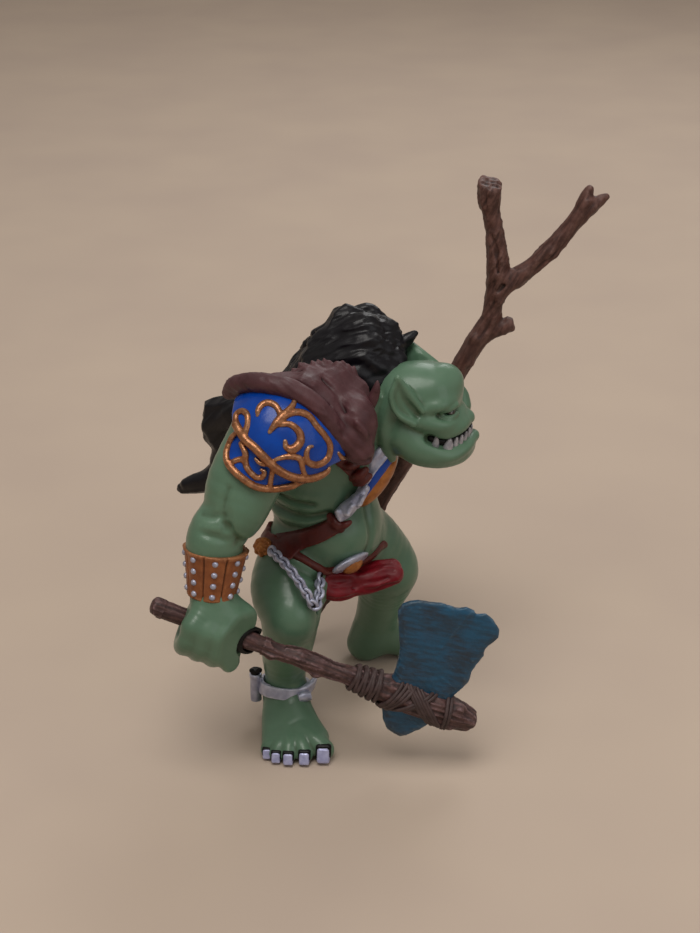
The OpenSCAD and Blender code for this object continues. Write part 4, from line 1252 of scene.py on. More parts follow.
def build_pelt():
    f = Field((-32, -31, 67), (11, -2, 99), 0.26)
    for g in PELT:
        f.join(hull(g), 2.5)
    f.join(chain(ROLL, reach=4), 1.4)
    f.join(ellipsoid((1.3, -20.8, 82.2), (4.8, 4.5, 6.2)), 2.2)
    f.join(chain([(0.4, -22, 79.6, 4.0), (1.8, -22.8, 77.2, 3.5), (2.8, -23.2, 75.6, 2.3)]), 1.6)
    f.join(ball(3.2, -24, 75.2, 1.3), 0.8)
    f.join(chain([(-2.2, -24.9, 83.4, 0.7), (-1.6, -25.2, 81, 0.9), (-0.4, -25.4, 78.8, 0.6)]), 0.8)
    f.join(chain([(1.6, -25.2, 84.4, 0.6), (3, -25, 82, 0.8), (3.4, -24.6, 79.6, 0.5)]), 1.0)
    f.cut(chain([(1, -26.6, 75.6, 0.3), (2.6, -26.2, 75, 0.5), (4.6, -24.8, 75.4, 0.35)]), 0.5)  # mouth
    f.cut(chain([(-3.4, -25.6, 79.4, 0.3), (-2, -26, 77.4, 0.5), (-0.4, -26, 76, 0.3)]), 0.8)
    f.cut(chain([(-0.6, -17, 93.2, 0.2), (1, -17.4, 92.6, 0.5), (2.6, -17, 91.8, 0.3)]), 0.5)
    for path in ([(-20, -20.4, 93.4, 0.3), (-14, -21.8, 93.4, 0.4), (-9, -22.6, 91.4, 0.4), (-5, -23.2, 87.4, 0.4)],
                 [(-23, -15, 90.4, 0.4), (-17, -16.4, 92.2, 0.4), (-11, -17, 93, 0.3)],
                 [(-6, -18.6, 91.8, 0.2), (-2.8, -21, 89, 0.3), (-1, -23, 86, 0.2)]):
        f.cut(chain(path), 1.2)
    along = np.array([(-14, -15.4, 91.6), (-11, -14.4, 92.8), (-8, -13.6, 93.6), (-5, -12.8, 93.6), (-2, -12.8, 93.2),
                      (0.6, -13.4, 92), (2.6, -14.6, 90.4)])
    for t in np.linspace(0.1, 0.85, 11):
        root = slide(along, t) + dice.normal(0, 0.25, 3)
        lean = np.array([-0.9 + 1.1 * t, 0.2, 1.0]) * dice.uniform(0.6, 1.1)
        f.join(chain([(*(root - lean * 1.5), 1.0), (*root, 0.7), (*(root + lean), 0.25)]), 0.6)
    f.cut(grown(whole_guard, -0.4), 0.2)
    return f


def pelt_fur(p, n):
    """Short fur that lies along the roll and down the beast's face."""
    flow = fibres((1, -0.2, -0.75), 1.3, 0.13, 21)(p, n)
    return flow + 0.16 * layered_noise(p / 2.6, 3, 22)


add_sculpt("pelt_fur", build_pelt(), PAINT["hide"], relief=pelt_fur, reach=12, stands_for=["shoulder_pelt"],
           slot="hide")
ear = Field((1, -21, 82), (9, -13, 94), 0.2)
ear.join(chain([(4.2, -17, 84.4, 1.2), (5.2, -17.4, 87, 1.25), (5.9, -17.6, 89.4, 0.9), (6.1, -17.6, 91, 0.35)]))
ear.cut(chain([(5.2, -19, 86, 0.5), (5.8, -18.9, 88.4, 0.55)]), 0.5)
add_sculpt("pelt_ear", ear, PAINT["hide"], reach=8, slot="hide")


# ---- bracer ----
BRACER_TOP, BRACER_FOOT = np.array([-30, -31.2, 56.4]), np.array([-31.2, -33, 45.4])
BRACER_LENGTH = np.linalg.norm(BRACER_FOOT - BRACER_TOP)
BRACER_DOWN = unit(BRACER_FOOT - BRACER_TOP)
BRACER_TAPER = 1.65  # how much the radius shrinks from top to foot
BRACER_MEAN_R = 6
BRACER_SIDE = unit(np.array([1, 0, 0]) - BRACER_DOWN * BRACER_DOWN[0])
BRACER_AXES = (BRACER_SIDE, np.cross(BRACER_DOWN, BRACER_SIDE), BRACER_DOWN)
COLUMNS, ROWS = 8, 4
COLUMN_TURN = math.radians(-4)


def seam_phase(angle):
    """0 on a seam between two plates, 1 in the middle of a plate."""
    return np.abs(np.cos((angle - COLUMN_TURN) * COLUMNS / 2))


def build_bracer():
    def out(depth):
        def at(angle):
            seam = np.exp(-(seam_phase(angle) / 0.13) ** 2)
            scuff = 0.07 * noise(np.column_stack([angle * 6, np.full(len(angle), depth * 1.7), angle * 0]), 5)
            taper = 6.95 - BRACER_TAPER * depth / BRACER_LENGTH + 0.12 * max(0, 1.6 - depth)
            lip = 0.14 if depth < 0.9 or depth > BRACER_LENGTH - 0.9 else 0
            return taper + 0.18 * seam_phase(angle) - 0.42 * seam + scuff + lip - BRACER_MEAN_R
        return at

    def edge(depth):
        share = depth / BRACER_LENGTH
        return lambda angle: depth + share**3 * (0.4 * np.exp(-(seam_phase(angle) / 0.3) ** 2) - 0.2)

    rows = [(out(d), edge(d)) for d in np.linspace(0, BRACER_LENGTH, 34)]
    inner = [(r, edge(d)) for d, r in ((BRACER_LENGTH, -1.3), (BRACER_LENGTH * 0.5, -0.5), (0.1, -0.1))]
    return ringed(BRACER_TOP, BRACER_AXES, BRACER_MEAN_R, rows + inner, 200)


verts, quads = build_bracer()
add_piece("bracer_plates", verts, quads, PAINT["bracer"], wash_and_painted_light=hollows(verts, quads, 10), stands_for=["bracer"],
          slot="bracer_leather")
studs = []
for i in range(COLUMNS):
    angle = COLUMN_TURN + i * 2 * math.pi / COLUMNS
    way = math.cos(angle) * BRACER_AXES[0] + math.sin(angle) * BRACER_AXES[1]
    for depth in np.linspace(1.5, BRACER_LENGTH - 1.5, ROWS):
        r = 7.1 - BRACER_TAPER * depth / BRACER_LENGTH
        studs.append(dome(BRACER_TOP + BRACER_DOWN * depth + way * r, way, 0.72, 0.62))
add_parts("bracer_rivets", studs, PAINT["silver"], stands_for=["bracer_studs"], slot="silver")


# ---- straps and belt ----
STRAP_THICK = 1.0


def strap_on_body(f, centre, width_axis, half_width, run_axis, half_run):
    """A band that lies on the skin: what a slightly larger body holds between four planes."""
    centre = np.array(centre, float)
    w, r = unit(width_axis), unit(run_axis)
    part = Field(f.low, f.low + f.step * (np.array(f.d.shape) - 1), f.step / RESOLUTION)
    part.join(grown(body_field, STRAP_THICK))
    for way, half in ((w, half_width), (-w, half_width), (r, half_run), (-r, half_run)):
        part.keep(half_space(centre + way * half, way), 0.5)
    f.d = smooth_min(f.d, part.d[tuple(slice(0, s) for s in f.d.shape)], 0.6)


def tidy_strap(f):
    """Clears what lies inside the body, and what lies past the figure's middle on its left."""
    return f.cut(grown(body_field, -0.5)).keep(half_space((0, -3, 0), (0, 1, 0)))


chest = Field((-23, -23, 44), (3, -2, 62), 0.26)
strap_on_body(chest, (-9.4, -12.6, 51.4), (-0.469, 0, 0.883), 1.8, (0.883, 0, 0.469), 8.6)
tidy_strap(chest)
chest.join(chain([(-4.6, -15.6, 56.6, 0.9), (-3.2, -16.6, 55, 1.3), (-2.2, -16.2, 53.6, 1.0)]), 0.6)
chest.join(chain([(-2.6, -16.6, 54.4, 0.8), (-1.2, -17, 55, 0.9), (0, -16.8, 55.6, 0.6)]), 0.5)
add_sculpt("chest_band", chest, PAINT["strap"], relief=mottle(1.4, 0.08, 31), reach=8, stands_for=["chest_strap"],
           slot="strap_leather")

upper = Field((-6, -23, 58), (9, -6, 76), 0.26)
strap_on_body(upper, (1.2, -12.5, 67), (0.75, 0, 0.66), 1.5, (0.66, 0, -0.75), 6.5)
upper.cut(grown(body_field, -0.5))
for path in ([(0.4, -14.2, 65.6, 0.8), (2, -15.6, 67, 1.25), (3.6, -15, 68.2, 0.8)],
             [(1.2, -14.4, 64.4, 0.7), (2.8, -15.6, 65.4, 1.0), (4.4, -15, 66.6, 0.8)],
             [(-1.6, -14.6, 69.6, 0.8), (0, -15.6, 69.4, 1.1), (1.6, -15.2, 69.6, 0.8)]):
    upper.join(chain(path), 0.5)
add_sculpt("shoulder_band", upper, PAINT["strap"], relief=mottle(1.4, 0.08, 32), reach=8, stands_for=["shoulder_strap"],
           slot="strap_leather")

belt = Field((-30, -23, 33), (17, 24, 56), 0.3)
belt.join(grown(body_field, 0.9))
belt_line = snapped(body_field, [(-22, -8, 48.4, 1.9), (-18.6, -13, 48.6, 2.1), (-15, -15.6, 48, 1.7),
                                 (-12, -16.8, 46.2, 1.1),
                                 (-8, -17, 43.8, 1.0), (-4.6, -16.4, 42.4, 1.0), (0, -15, 42, 1.0), (4, -13, 42, 1.0)])
belt_back = snapped(body_field, [(-22, -8, 48.4, 1.9), (-24, 0, 48.6, 1.8), (-22, 9, 48.6, 1.7), (-14, 15, 48, 1.6),
                                 (-4, 16, 46.6, 1.5), (6, 12, 45.4, 1.4), (11, 4, 44, 1.2), (10, -5, 42.8, 1.1),
                                 (4, -13, 42, 1.0)])
ways = Field((-30, -23, 33), (17, 24, 56), 0.3)
ways.join(chain(belt_line)).join(chain(belt_back))
belt.keep(grown(ways), 0.3)
tidy_strap(belt)
add_sculpt("belt_band", belt, PAINT["strap"], relief=mottle(1.4, 0.07, 33), reach=8, stands_for=["waist_belt"],
           slot="strap_leather")

tail_end = Field((-6, -21, 53), (10, -9, 70), 0.24)
tail_end.join(chain([(3.6, -15, 63.4, 0.9), (2.2, -15.4, 61.6, 1.4), (0.8, -15.8, 60.2, 1.6), (-0.6, -16, 58.8, 1.8),
                     (-1.8, -16, 57.6, 1.8)]), 0.4)
for path in ([(3, -16.8, 62, 0.4), (2.2, -17.2, 60.4, 0.6)],
             [(0.4, -17.6, 60, 0.5), (-0.6, -18, 58.4, 0.7)], [(-2.8, -17.2, 58.6, 0.6), (-2.2, -17.4, 56.6, 0.6)]):
    tail_end.join(chain(path), 0.6)
add_sculpt("strap_fitting_cast", tail_end, PAINT["silver"], relief=mottle(1.1, 0.16, 34), reach=8,
           stands_for=["strap_fitting"], slot="silver")


# ---- medallion and buckle ----
def turned(rx, ry, rz):
    """Rows are the axes of a frame turned about X, then Y, then Z, in degrees."""
    a, b, c = np.radians([rx, ry, rz])
    x = np.array([[1, 0, 0], [0, math.cos(a), -math.sin(a)], [0, math.sin(a), math.cos(a)]])
    y = np.array([[math.cos(b), 0, math.sin(b)], [0, 1, 0], [-math.sin(b), 0, math.cos(b)]])
    z = np.array([[math.cos(c), -math.sin(c), 0], [math.sin(c), math.cos(c), 0], [0, 0, 1]])
    return (z @ y @ x).T


def across_frame(way):
    """Three axes, the last along way and the first as level as it can be."""
    side = unit(np.cross((0, 0, 1), way))
    return np.array([side, np.cross(way, side), way])


def oval(a, b):
    t = np.arange(40) * 2 * np.pi / 40
    return np.column_stack([a * np.cos(t), b * np.sin(t)])


MEDALLION, MEDALLION_AXES = np.array([5.3, -9.3, 64.4]), turned(114, -52, 24)
# tilted 14 degrees more about the plate's own first axis
MEDALLION_AXES = (turned(0, 0, 14) @ MEDALLION_AXES[[1, 2, 0]])[[2, 0, 1]]


def around(centre, reach, step=0.2):
    """An empty field that reaches some millimetres each way from a centre."""
    return Field(centre - reach, centre + reach, step)



def on_medallion(along, up, out):
    return local_point(MEDALLION, *MEDALLION_AXES, along, up, out)


rim = around(MEDALLION, 12.5)
rim.join(prism(MEDALLION, MEDALLION_AXES, oval(8.9, 4.4), 0, 1.7))
rim.cut(prism(MEDALLION, MEDALLION_AXES, oval(8, 3.6), 1.0, 4), 0.4)
rim.join(ellipsoid(on_medallion(4.4, 1.6, -0.4), (4.8, 3.8, 1.7), MEDALLION_AXES), 1.2)
rim.cut(prism(MEDALLION, MEDALLION_AXES, oval(8, 3.6), 1.0, 4), 0.2)
add_sculpt("medallion_rim", rim, PAINT["silver"], relief=mottle(1.2, 0.1, 41), reach=8, stands_for=["medallion_frame"],
           slot="silver")
ring = around(MEDALLION, 12.5)
ring.join(ellipsoid(on_medallion(0, 0, 1.1), (8.1, 3.8, 1.9), MEDALLION_AXES))
add_sculpt("medallion_enamel", ring, PAINT["enamel"], reach=8, stands_for=["medallion_plate"], slot="enamel")
boss = around(MEDALLION, 12.5)
boss.join(ellipsoid(on_medallion(-0.6, -0.75, 1.2), (7.6, 3.3, 2.8), MEDALLION_AXES))
boss.keep(half_space(on_medallion(0, 0, 0.8), -MEDALLION_AXES[2]))
add_sculpt("medallion_boss", boss, PAINT["ochre"], relief=mottle(1.2, 0.08, 42), reach=8, slot="gilt")

BUCKLE_WAY = unit(0.53 * GUARD_AXES[0] - 0.85 * GUARD_AXES[1] + 0.2 * GUARD_AXES[2])
BUCKLE, BUCKLE_AXES = np.array([0.1, -14.8, 44]), across_frame(BUCKLE_WAY)
plate = around(BUCKLE, 6.5)
plate.join(ellipsoid(BUCKLE, (5.4, 3.6, 1.15), BUCKLE_AXES))
add_sculpt("buckle_plate", plate, PAINT["silver"], relief=mottle(1, 0.07, 43), reach=8, stands_for=["belt_buckle"],
           slot="silver")
plate = around(BUCKLE, 6.5)
plate.join(ellipsoid(BUCKLE + BUCKLE_AXES[2] * 0.5, (3, 2.3, 2.0), BUCKLE_AXES))
plate.keep(half_space(BUCKLE + BUCKLE_AXES[2] * 0.4, -BUCKLE_AXES[2]))
add_sculpt("buckle_boss", plate, PAINT["ochre"], relief=mottle(1, 0.1, 44), reach=8, slot="gilt")

ROSETTE, ROSETTE_WAY = np.array([-20.4, -13.0, 47.2]), unit((-0.35, -0.9, 0.3))
petals = around(ROSETTE, 4, 0.16)
across = unit(np.cross(ROSETTE_WAY, (0, 0, 1)))
over = np.cross(across, ROSETTE_WAY)
petals.join(ellipsoid(ROSETTE, (2.4, 2.4, 1.2), (across, over, ROSETTE_WAY)))
for ring_r, count, size, lift in ((1.75, 8, 0.66, 0.5), (0.85, 5, 0.56, 1.0)):
    for i in range(count):
        a = i * 2 * math.pi / count
        spot = ROSETTE + ring_r * (math.cos(a) * across + math.sin(a) * over)
        petals.join(ball(*(spot + ROSETTE_WAY * lift), size), 0.2)
petals.join(ball(*(ROSETTE + ROSETTE_WAY * 1.3), 0.5), 0.2)
add_sculpt("rosette_petals", petals, PAINT["ochre"], reach=6, stands_for=["hip_rosette"], slot="gilt")


# ---- chain on the thigh ----
CHAIN = [(-18.6, -16.6, 48.4), (-16.4, -20.6, 48.4), (-14, -23.6, 47.2), (-11.6, -25.8, 44.8), (-9.6, -26.9, 41.8),
         (-8.3, -27, 39.2), (-7.5, -25.8, 39.2), (-7.1, -24, 40.8), (-7, -21, 42.2), (-7, -17.6, 43.2)]


def chain_links():
    route = smooth_path([(*p, 0) for p in CHAIN], 8)[:, :3]
    lift = body_field.sample(route)
    route = route - body_field.gradient(route) * np.minimum(lift - 0.9, 0)[:, None]
    length = np.concatenate([[0], np.cumsum(np.linalg.norm(np.diff(route, axis=0), axis=1))])
    parts, at = [], 0.9
    count = 0
    while at < length[-1] - 0.6:
        c, c2 = [np.array([np.interp(t, length, route[:, i]) for i in range(3)]) for t in (at, at + 0.3)]
        way = unit(c2 - c)
        side = unit(np.cross(way, (0.3, -0.8, 0.5)))
        normal = np.cross(side, way)
        turn = math.radians(38 if count % 2 else -48)
        side = side * math.cos(turn) + normal * math.sin(turn)
        loop = [(*(c + way * 1.3 * math.cos(a) + side * 0.95 * math.sin(a)), 0.44)
                for a in np.arange(16) * math.pi / 8]
        parts.append(sweep(loop, 8, up=np.cross(side, way), closed=True))
        at += 1.5
        count += 1
    return parts, route


links, chain_route = chain_links()
add_parts("chain_links", links, PAINT["silver"], stands_for=["hip_chain"], slot="silver")
shade = np.column_stack([chain_route, np.full(len(chain_route), 0.55)])
add_parts("chain_recess", [sweep(rounded(shade[2:-2]), 8)], PAINT["black"], slot="silver")


# ---- loincloth ----
def build_cloth():
    f = Field((-13, -19, 26), (19, -2, 46), 0.26)
    for path, blend in (
            ([(-5, -14.6, 41, 1.4), (-6.2, -16, 38.8, 1.7), (-5, -16.2, 36.8, 1.8), (-2.2, -15.6, 36.2, 1.9),
              (1, -13.8, 36.4, 1.8), (4.2, -13, 36.7, 1.9), (7.6, -12.4, 37.7, 1.9), (10.6, -11.4, 38.5, 2.0)], 0.5),
            ([(-0.8, -12.6, 39.2, 1.3), (2.4, -12.9, 38.6, 1.6), (5.6, -12.2, 39, 1.8), (8.6, -11.4, 39.6, 1.8),
              (11, -10.6, 39, 1.8)], 0.5),
            ([(-5.2, -14.8, 40.6, 1.5), (-3.8, -14.8, 39.6, 1.9), (-0.6, -12.8, 38.8, 2.2)], 0.8),
            ([(-4.6, -10, 38.4, 2.2), (0, -10, 37.8, 2.4), (5, -9, 38.4, 2.6), (10, -8.4, 39, 2.4)], 1.0),
            ([(8.6, -12.8, 37.8, 0.9), (10.8, -12.2, 38.4, 1.1), (11.8, -11.2, 39.8, 0.9)], 0.5),
            ([(2.4, -14.4, 37.6, 0.8), (4.6, -14, 38.4, 1.0), (6.6, -13.4, 38, 0.8)], 0.5)):
        f.join(chain(path), blend)
    f.cut(chain([(-4.4, -17.1, 40.4, 0.9), (-2.4, -16.4, 40, 1.2), (0.2, -15, 39.6, 0.7)]), 0.5)
    for path in ([(-7.4, -17.4, 38, 0.3), (-5.4, -18, 36, 0.5), (-2.4, -17.4, 35.4, 0.5), (1.4, -15.6, 35.6, 0.3)],
                 [(0.8, -15.2, 37.4, 0.3), (3.6, -15, 38.6, 0.5), (6.6, -14.2, 38.6, 0.5), (9, -13.4, 39.2, 0.3)],
                 [(4, -15, 36.6, 0.3), (6.4, -14.4, 36.6, 0.5), (8.8, -13.8, 37.4, 0.4), (11.4, -12.8, 37.6, 0.3)],
                 [(6.4, -13.8, 40.2, 0.3), (8.6, -13.2, 40.6, 0.5), (10.4, -12.4, 40.6, 0.3)]):
        f.cut(chain(path), 0.7)
    return f


add_sculpt("loincloth_folds", build_cloth(), PAINT["scarlet"], relief=mottle(2.2, 0.14, 51), reach=12,
           stands_for=["loincloth"], slot="scarlet_cloth")


# ---- ankle shackle ----
SHACKLE = np.array([-15.9, -15.1, 9.7])
SHACKLE_UP = unit((0.1, 0.3, 1))
cuff = Field((-25, -23, 5), (-6, -6, 15), 0.22)
for back in (0, 0.9, 1.8):  # the band is longer from front to back than it is wide
    cuff.join(drum(SHACKLE - SHACKLE_UP * 1.45 + Y * back, SHACKLE + SHACKLE_UP * 1.45 + Y * back, 6.1))
for back in (0, 0.9, 1.8):
    cuff.cut(drum(SHACKLE - SHACKLE_UP * 4 + Y * back, SHACKLE + SHACKLE_UP * 4 + Y * back, 5.25))
cuff.join(hull([(-9.4, -17.6, 12.4, 0.6), (-8.4, -15.4, 12.6, 0.6), (-9.2, -14.6, 10, 0.8), (-10.6, -18.8, 12, 0.6),
                (-10.4, -18.2, 10, 0.8), (-12, -19.4, 11.8, 0.5)]), 0.5)
cuff.join(hull([(-21.8, -14.4, 12, 0.7), (-21.8, -14.4, 8.4, 0.7), (-23, -13.4, 12, 0.7), (-23, -13.4, 8.4, 0.7)]), 0.4)
add_sculpt("shackle_cuff", cuff, PAINT["silver"], relief=mottle(1.3, 0.07, 61), reach=8, stands_for=["ankle_shackle"],
           slot="silver")
bolts = Field((-27, -22, 3), (-6, -9, 18), 0.18)
bolts.join(drum((-22.9, -14.2, 5.9), (-22.9, -14.2, 12.6), 1.35))
bolts.join(drum((-22.9, -14.2, 12.4), (-22.9, -14.2, 13.4), 1.5), 0.2)
bolts.join(drum((-12.4, -20.4, 10.2), (-9.4, -19.6, 10.4), 1.1), 0.2)
bolts.join(ball(-11.2, -19.6, 10.4, 1.4), 0.6)
bolts.cut(drum((-10.1, -19.8, 10.3), (-8, -19.2, 10.5), 0.55), 0.1)
add_sculpt("shackle_pins", bolts, PAINT["silver"], relief=mottle(1, 0.04, 62), reach=6, stands_for=["shackle_bolts"],
           slot="silver")
nuts = Field((-27, -22, 3), (-6, -9, 18), 0.18)
nuts.join(drum((-22.9, -14.2, 13.3), (-22.9, -14.2, 14.6), 1.2), 0.1)
nuts.join(ball(-21.9, -14.8, 14.6, 0.7), 0.4).join(ball(-23.8, -14.8, 14.5, 0.6), 0.4)
nuts.join(drum((-10.2, -19.8, 10.3), (-9.9, -19.7, 10.33), 0.55))
add_sculpt("shackle_nuts", nuts, PAINT["black"], reach=6, slot="silver")


# ---- toenails ----
def nail_fields(toes, way):
    """Square-ended nails on the tips of the toes, each on a black bed that shows above and beside it."""
    low = np.min([t[:3] for t in toes], axis=0) - 5
    high = np.max([t[:3] for t in toes], axis=0) + 5
    beds, plates = Field(low, high, 0.16), Field(low, high, 0.16)
    normal = unit(unit(way) + np.array((0, 0, 0.35)))
    side = unit(np.cross(normal, (0, 0, 1)))
    up = np.cross(side, normal)
    for x, y, z, r in toes:
        centre = np.array((x, y, z)) + normal * r * 0.62
        for f, wide, tall, out in ((beds, 0.5, 0.42, 0.12), (plates, 0.36, 0.5, 0.26)):
            shift = -up * (-0.1 if f is beds else 0.3) * r
            corners = [centre + shift + (side * a * wide + up * b * tall - normal * 0.1) * r + normal * out * r * c
                       for a in (-1, 1) for b in (-1, 1) for c in (-2, 1)]
            f.join(hull([(*p, 0.28 * r) for p in corners]), 0.1)
    for f in (beds, plates):
        f.keep(half_space((0, 0, 0.25), (0, 0, -1)), 0.2)
    return beds, plates


for foot, toes, way in (("right", TOES_RIGHT, (-0.05, -1, 0)), ("left", TOES_LEFT, (1, 0.1, 0))):
    beds, plates = nail_fields(toes, way)
    add_sculpt("nail_beds_" + foot, beds, PAINT["black"], reach=6, slot="nail")
    add_sculpt("nail_plates_" + foot, plates, PAINT["nail"], relief=mottle(0.8, 0.05, 71), reach=6,
               stands_for=["toenails_" + foot], slot="nail")


# ---- axe ----
AXE_OUT = np.array([0.0, -1.0, 0.0])
AXE_FRAME = (AXE_AXIS, AXE_OVER, AXE_OUT)
AXE_SEAM, STAFF_SEAM = 6.2, 79.6
SPIGOT_R, SPIGOT_LEN, SOCKET_R = 1.5, 12.0, 1.56


def on_axe(s, h=0.0, o=0.0):
    return local_point(AXE_GRIP, AXE_AXIS, AXE_OVER, AXE_OUT, s, h, o)


def axe_path(*stations):
    """Stations (along, over, out, radius) by the shaft; over and out can be left out."""
    return [(*on_axe(*place), r) for *place, r in stations]


def bark(axis, seed, depth=0.26):
    """Long furrows and knots."""
    return both(fibres(axis, 1.2, depth, seed), mottle(2.6, depth * 0.9, seed + 1),
                mottle(0.9, depth * 0.4, seed + 2))


def calm_near(relief, point, axis, reach):
    """Keeps a relief from rising more than 0.05 mm within reach of a point, so that the part turns freely there."""
    def out(p, n):
        away = np.abs((p - point) @ axis)
        level = relief(p, n)
        return np.where(away < reach, np.minimum(level - 0.1, 0.05), level)
    return out


def axe_frame_field(s0, s1, low_h, high_h, half, step):
    corners = np.array([on_axe(s, h, o) for s in (s0, s1) for h in (low_h, high_h) for o in (-half, half)])
    return Field(corners.min(0), corners.max(0), step)


butt = axe_frame_field(-18, 8, -4, 4, 4, 0.24)
butt.join(chain(axe_path((-13.6, 0.2, 2.05), (-11, 0.1, 2.15), (-7, 2.1), (0, 2.25), (8, 2.3))))
butt.keep(half_space(on_axe(-15.2), -AXE_AXIS), 0.8).keep(half_space(on_axe(AXE_SEAM), AXE_AXIS))
butt.cut(ball(*on_axe(-10.4, -0.4, 2.6), 0.4), 0.5)
butt.cut(chain(axe_path((-9.6, 0.6, 2.5, 0.25), (-7, 0.2, 2.6, 0.3))), 0.4)
butt.cut(capsule((*on_axe(AXE_SEAM - SPIGOT_LEN - 1 + SOCKET_R), SOCKET_R), (*on_axe(AXE_SEAM + 3), SOCKET_R)))
axe_bark = calm_near(bark(AXE_AXIS, 81), AXE_GRIP, AXE_AXIS, 12)


def only_outside(relief, point, axis, radius):
    """No relief on bores and spigots: what is nearer to the axis than radius."""
    def out(p, n):
        q = p - point
        off = q - (q @ axis)[:, None] * axis
        return np.where(np.linalg.norm(off, axis=1) < radius, 0, relief(p, n))
    return out


add_sculpt("axe_butt_wood", butt, PAINT["axe_wood"], relief=only_outside(axe_bark, AXE_GRIP, AXE_AXIS, 1.9), reach=8,
           body="axe_grip", stands_for=["axe_butt"], slot="wood")

haft = axe_frame_field(-8, 68, -5.5, 5.5, 5.5, 0.27)
haft.join(chain(axe_path((2, 2.25), (8, 2.2), (11, 1.95), (16, -0.2, 1.85), (21, 0.2, 2.05), (25, -0.1, 2.4),
                         (29, -0.3, 2.1), (33, 0, 2.3), (37, 0, 2.8), (41, 0.1, 3.1), (46, 0.3, 3.7), (52, 0, 3.7),
                         (57, -0.1, 3.6), (60.6, -0.2, 3.3), (62.6, -0.3, 2.8))), 0.5)
for s, h, o, r in ((14.4, -0.9, 1.4, 0.8), (21, 1.2, 1.3, 0.8), (25.6, -1.4, 1.4, 1.0), (60, 2.2, 2, 1.1),
                   (59, -2.2, 2, 1),
                   (63, 0.6, 1.6, 1.1)):
    haft.join(ball(*on_axe(s, h, o), r), 1.6)
haft.keep(half_space(on_axe(AXE_SEAM), -AXE_AXIS))
haft.join(capsule((*on_axe(AXE_SEAM - SPIGOT_LEN + SPIGOT_R), SPIGOT_R), (*on_axe(AXE_SEAM + 2), SPIGOT_R)))
add_sculpt("axe_haft", haft, PAINT["axe_wood"], relief=only_outside(axe_bark, AXE_GRIP, AXE_AXIS, 1.75), reach=8,
           body="axe", stands_for=["axe_handle"], slot="wood")

BLADE = [(42.5, -3), (42.6, 4.6), (42.1, 8), (41.2, 11.2), (39.6, 14.4), (38.2, 17.2), (36.9, 19.9), (37.1, 21.8),
         (38.4, 23.2), (40.3, 24.4), (43, 24.9), (45.1, 25.5), (49.4, 25.9), (50.9, 26.8), (53.1, 26.6), (53.6, 26),
         (55.6, 27), (57.8, 26.2), (60.3, 24.4), (60.9, 22.3), (59.6, 19.6), (59.2, 18.6), (59.7, 16.8), (59, 14.2),
         (58.8, 12), (59.2, 9.4), (58.7, 7.4), (57.4, 4.8), (57.6, -2), (55.2, -4.6), (54, -6.6), (51.6, -9.6),
         (50.4, -10.3), (47, -9.6), (44.8, -7.4), (43.8, -5.2)]


def blade_half(u, v, flat):
    """Half the stone's thickness: full at the handle, thin at the edge, worn round near the outline."""
    body = 1.75 - 0.035 * np.clip(v - 6, 0, 22)
    ridge = 0.28 * np.clip(1 - np.abs((u - 50) - 0.24 * (v - 16)) / 1.2, 0, 1) * np.clip((v - 12) / 8, 0, 1)
    facet = 0.2 * np.where((u - 50) - 0.24 * (v - 16) > 0, 1.0, 0.0) * np.clip((v - 10) / 8, 0, 1)
    edge = np.clip(-flat / 1.5, 0, 1)
    return (body + ridge - facet) * (0.35 + 0.65 * np.sqrt(edge))


def stone_relief(p, n):
    """Flaked facets, with scratches across the lower face."""
    q = np.stack([(p - AXE_GRIP) @ a for a in AXE_FRAME], axis=1)
    flakes = 0.3 * np.abs(layered_noise(q / 3.4, 2, 91)) - 0.12
    drawn_out = np.column_stack([q[:, 0] * 0.16 + q[:, 1] * 0.05, q[:, 1] * 1.3 + q[:, 0] * 0.5, q[:, 2]])
    scratch = 0.07 * ridges(drawn_out, 92)
    return flakes + scratch * np.clip((20 - q[:, 1]) / 8, 0, 1) + 0.04 * noise(q * 1.6, 93)


stone = axe_frame_field(34, 64, -13, 30, 3.4, 0.27)
stone.join(prism(AXE_GRIP, AXE_FRAME, BLADE, -2.2, 2.2, blade_half))
stone.cut(chain(axe_path((52.6, 26.4, 1.6, 0.5), (51.8, 23, 1.7, 0.5), (51, 19.6, 1.9, 0.4), (49.4, 16, 2, 0.2))), 0.5)
stone.cut(ball(*on_axe(60.4, 18.8, 1.2), 0.9), 0.5).cut(ball(*on_axe(54.2, 27.2, 0.8), 0.9), 0.5)
add_sculpt("axe_stone", stone, PAINT["stone"], relief=stone_relief, reach=8, body="axe", stands_for=["axe_blade"],
           slot="stone")


def cord_turn(s, tilt, r, wire):
    """One turn of cord round the handle, its plane leaning by tilt millimetres."""
    count = 56
    out = []
    for i in range(count):
        a = 2 * math.pi * i / count
        wob = 0.12 * math.sin(5 * a + s)
        out.append((*on_axe(s + tilt * math.cos(a), (r + wob) * math.cos(a), (r + wob) * math.sin(a)), wire))
    return sweep(out, 8, up=AXE_AXIS, closed=True)


wraps = [cord_turn(s, 0.3 * (-1) ** i, 2.85 + 0.1 * i, 0.5) for i, s in enumerate(np.arange(34.4, 40.4, 0.85))]
for i, (s, tilt) in enumerate(((43.6, 1.6), (44.4, 1.9), (45.2, 2.2), (46, 2.4), (50.4, -4.4), (51.3, -4.6),
                               (52.2, -4.7),
                               (53.1, -4.7), (54, -4.6), (48.4, 4.4), (49.3, 4.5), (57.2, -0.8), (58, -0.6))):
    wraps.append(cord_turn(s, tilt, 4.0 + 0.12 * (i % 2), 0.46))
add_parts("axe_cord", wraps, PAINT["cord"], body="axe", stands_for=["axe_lashing"], slot="cord")


# ---- staff ----
STAFF_ACROSS = np.array([STAFF_AXIS[2], 0, -STAFF_AXIS[0]])


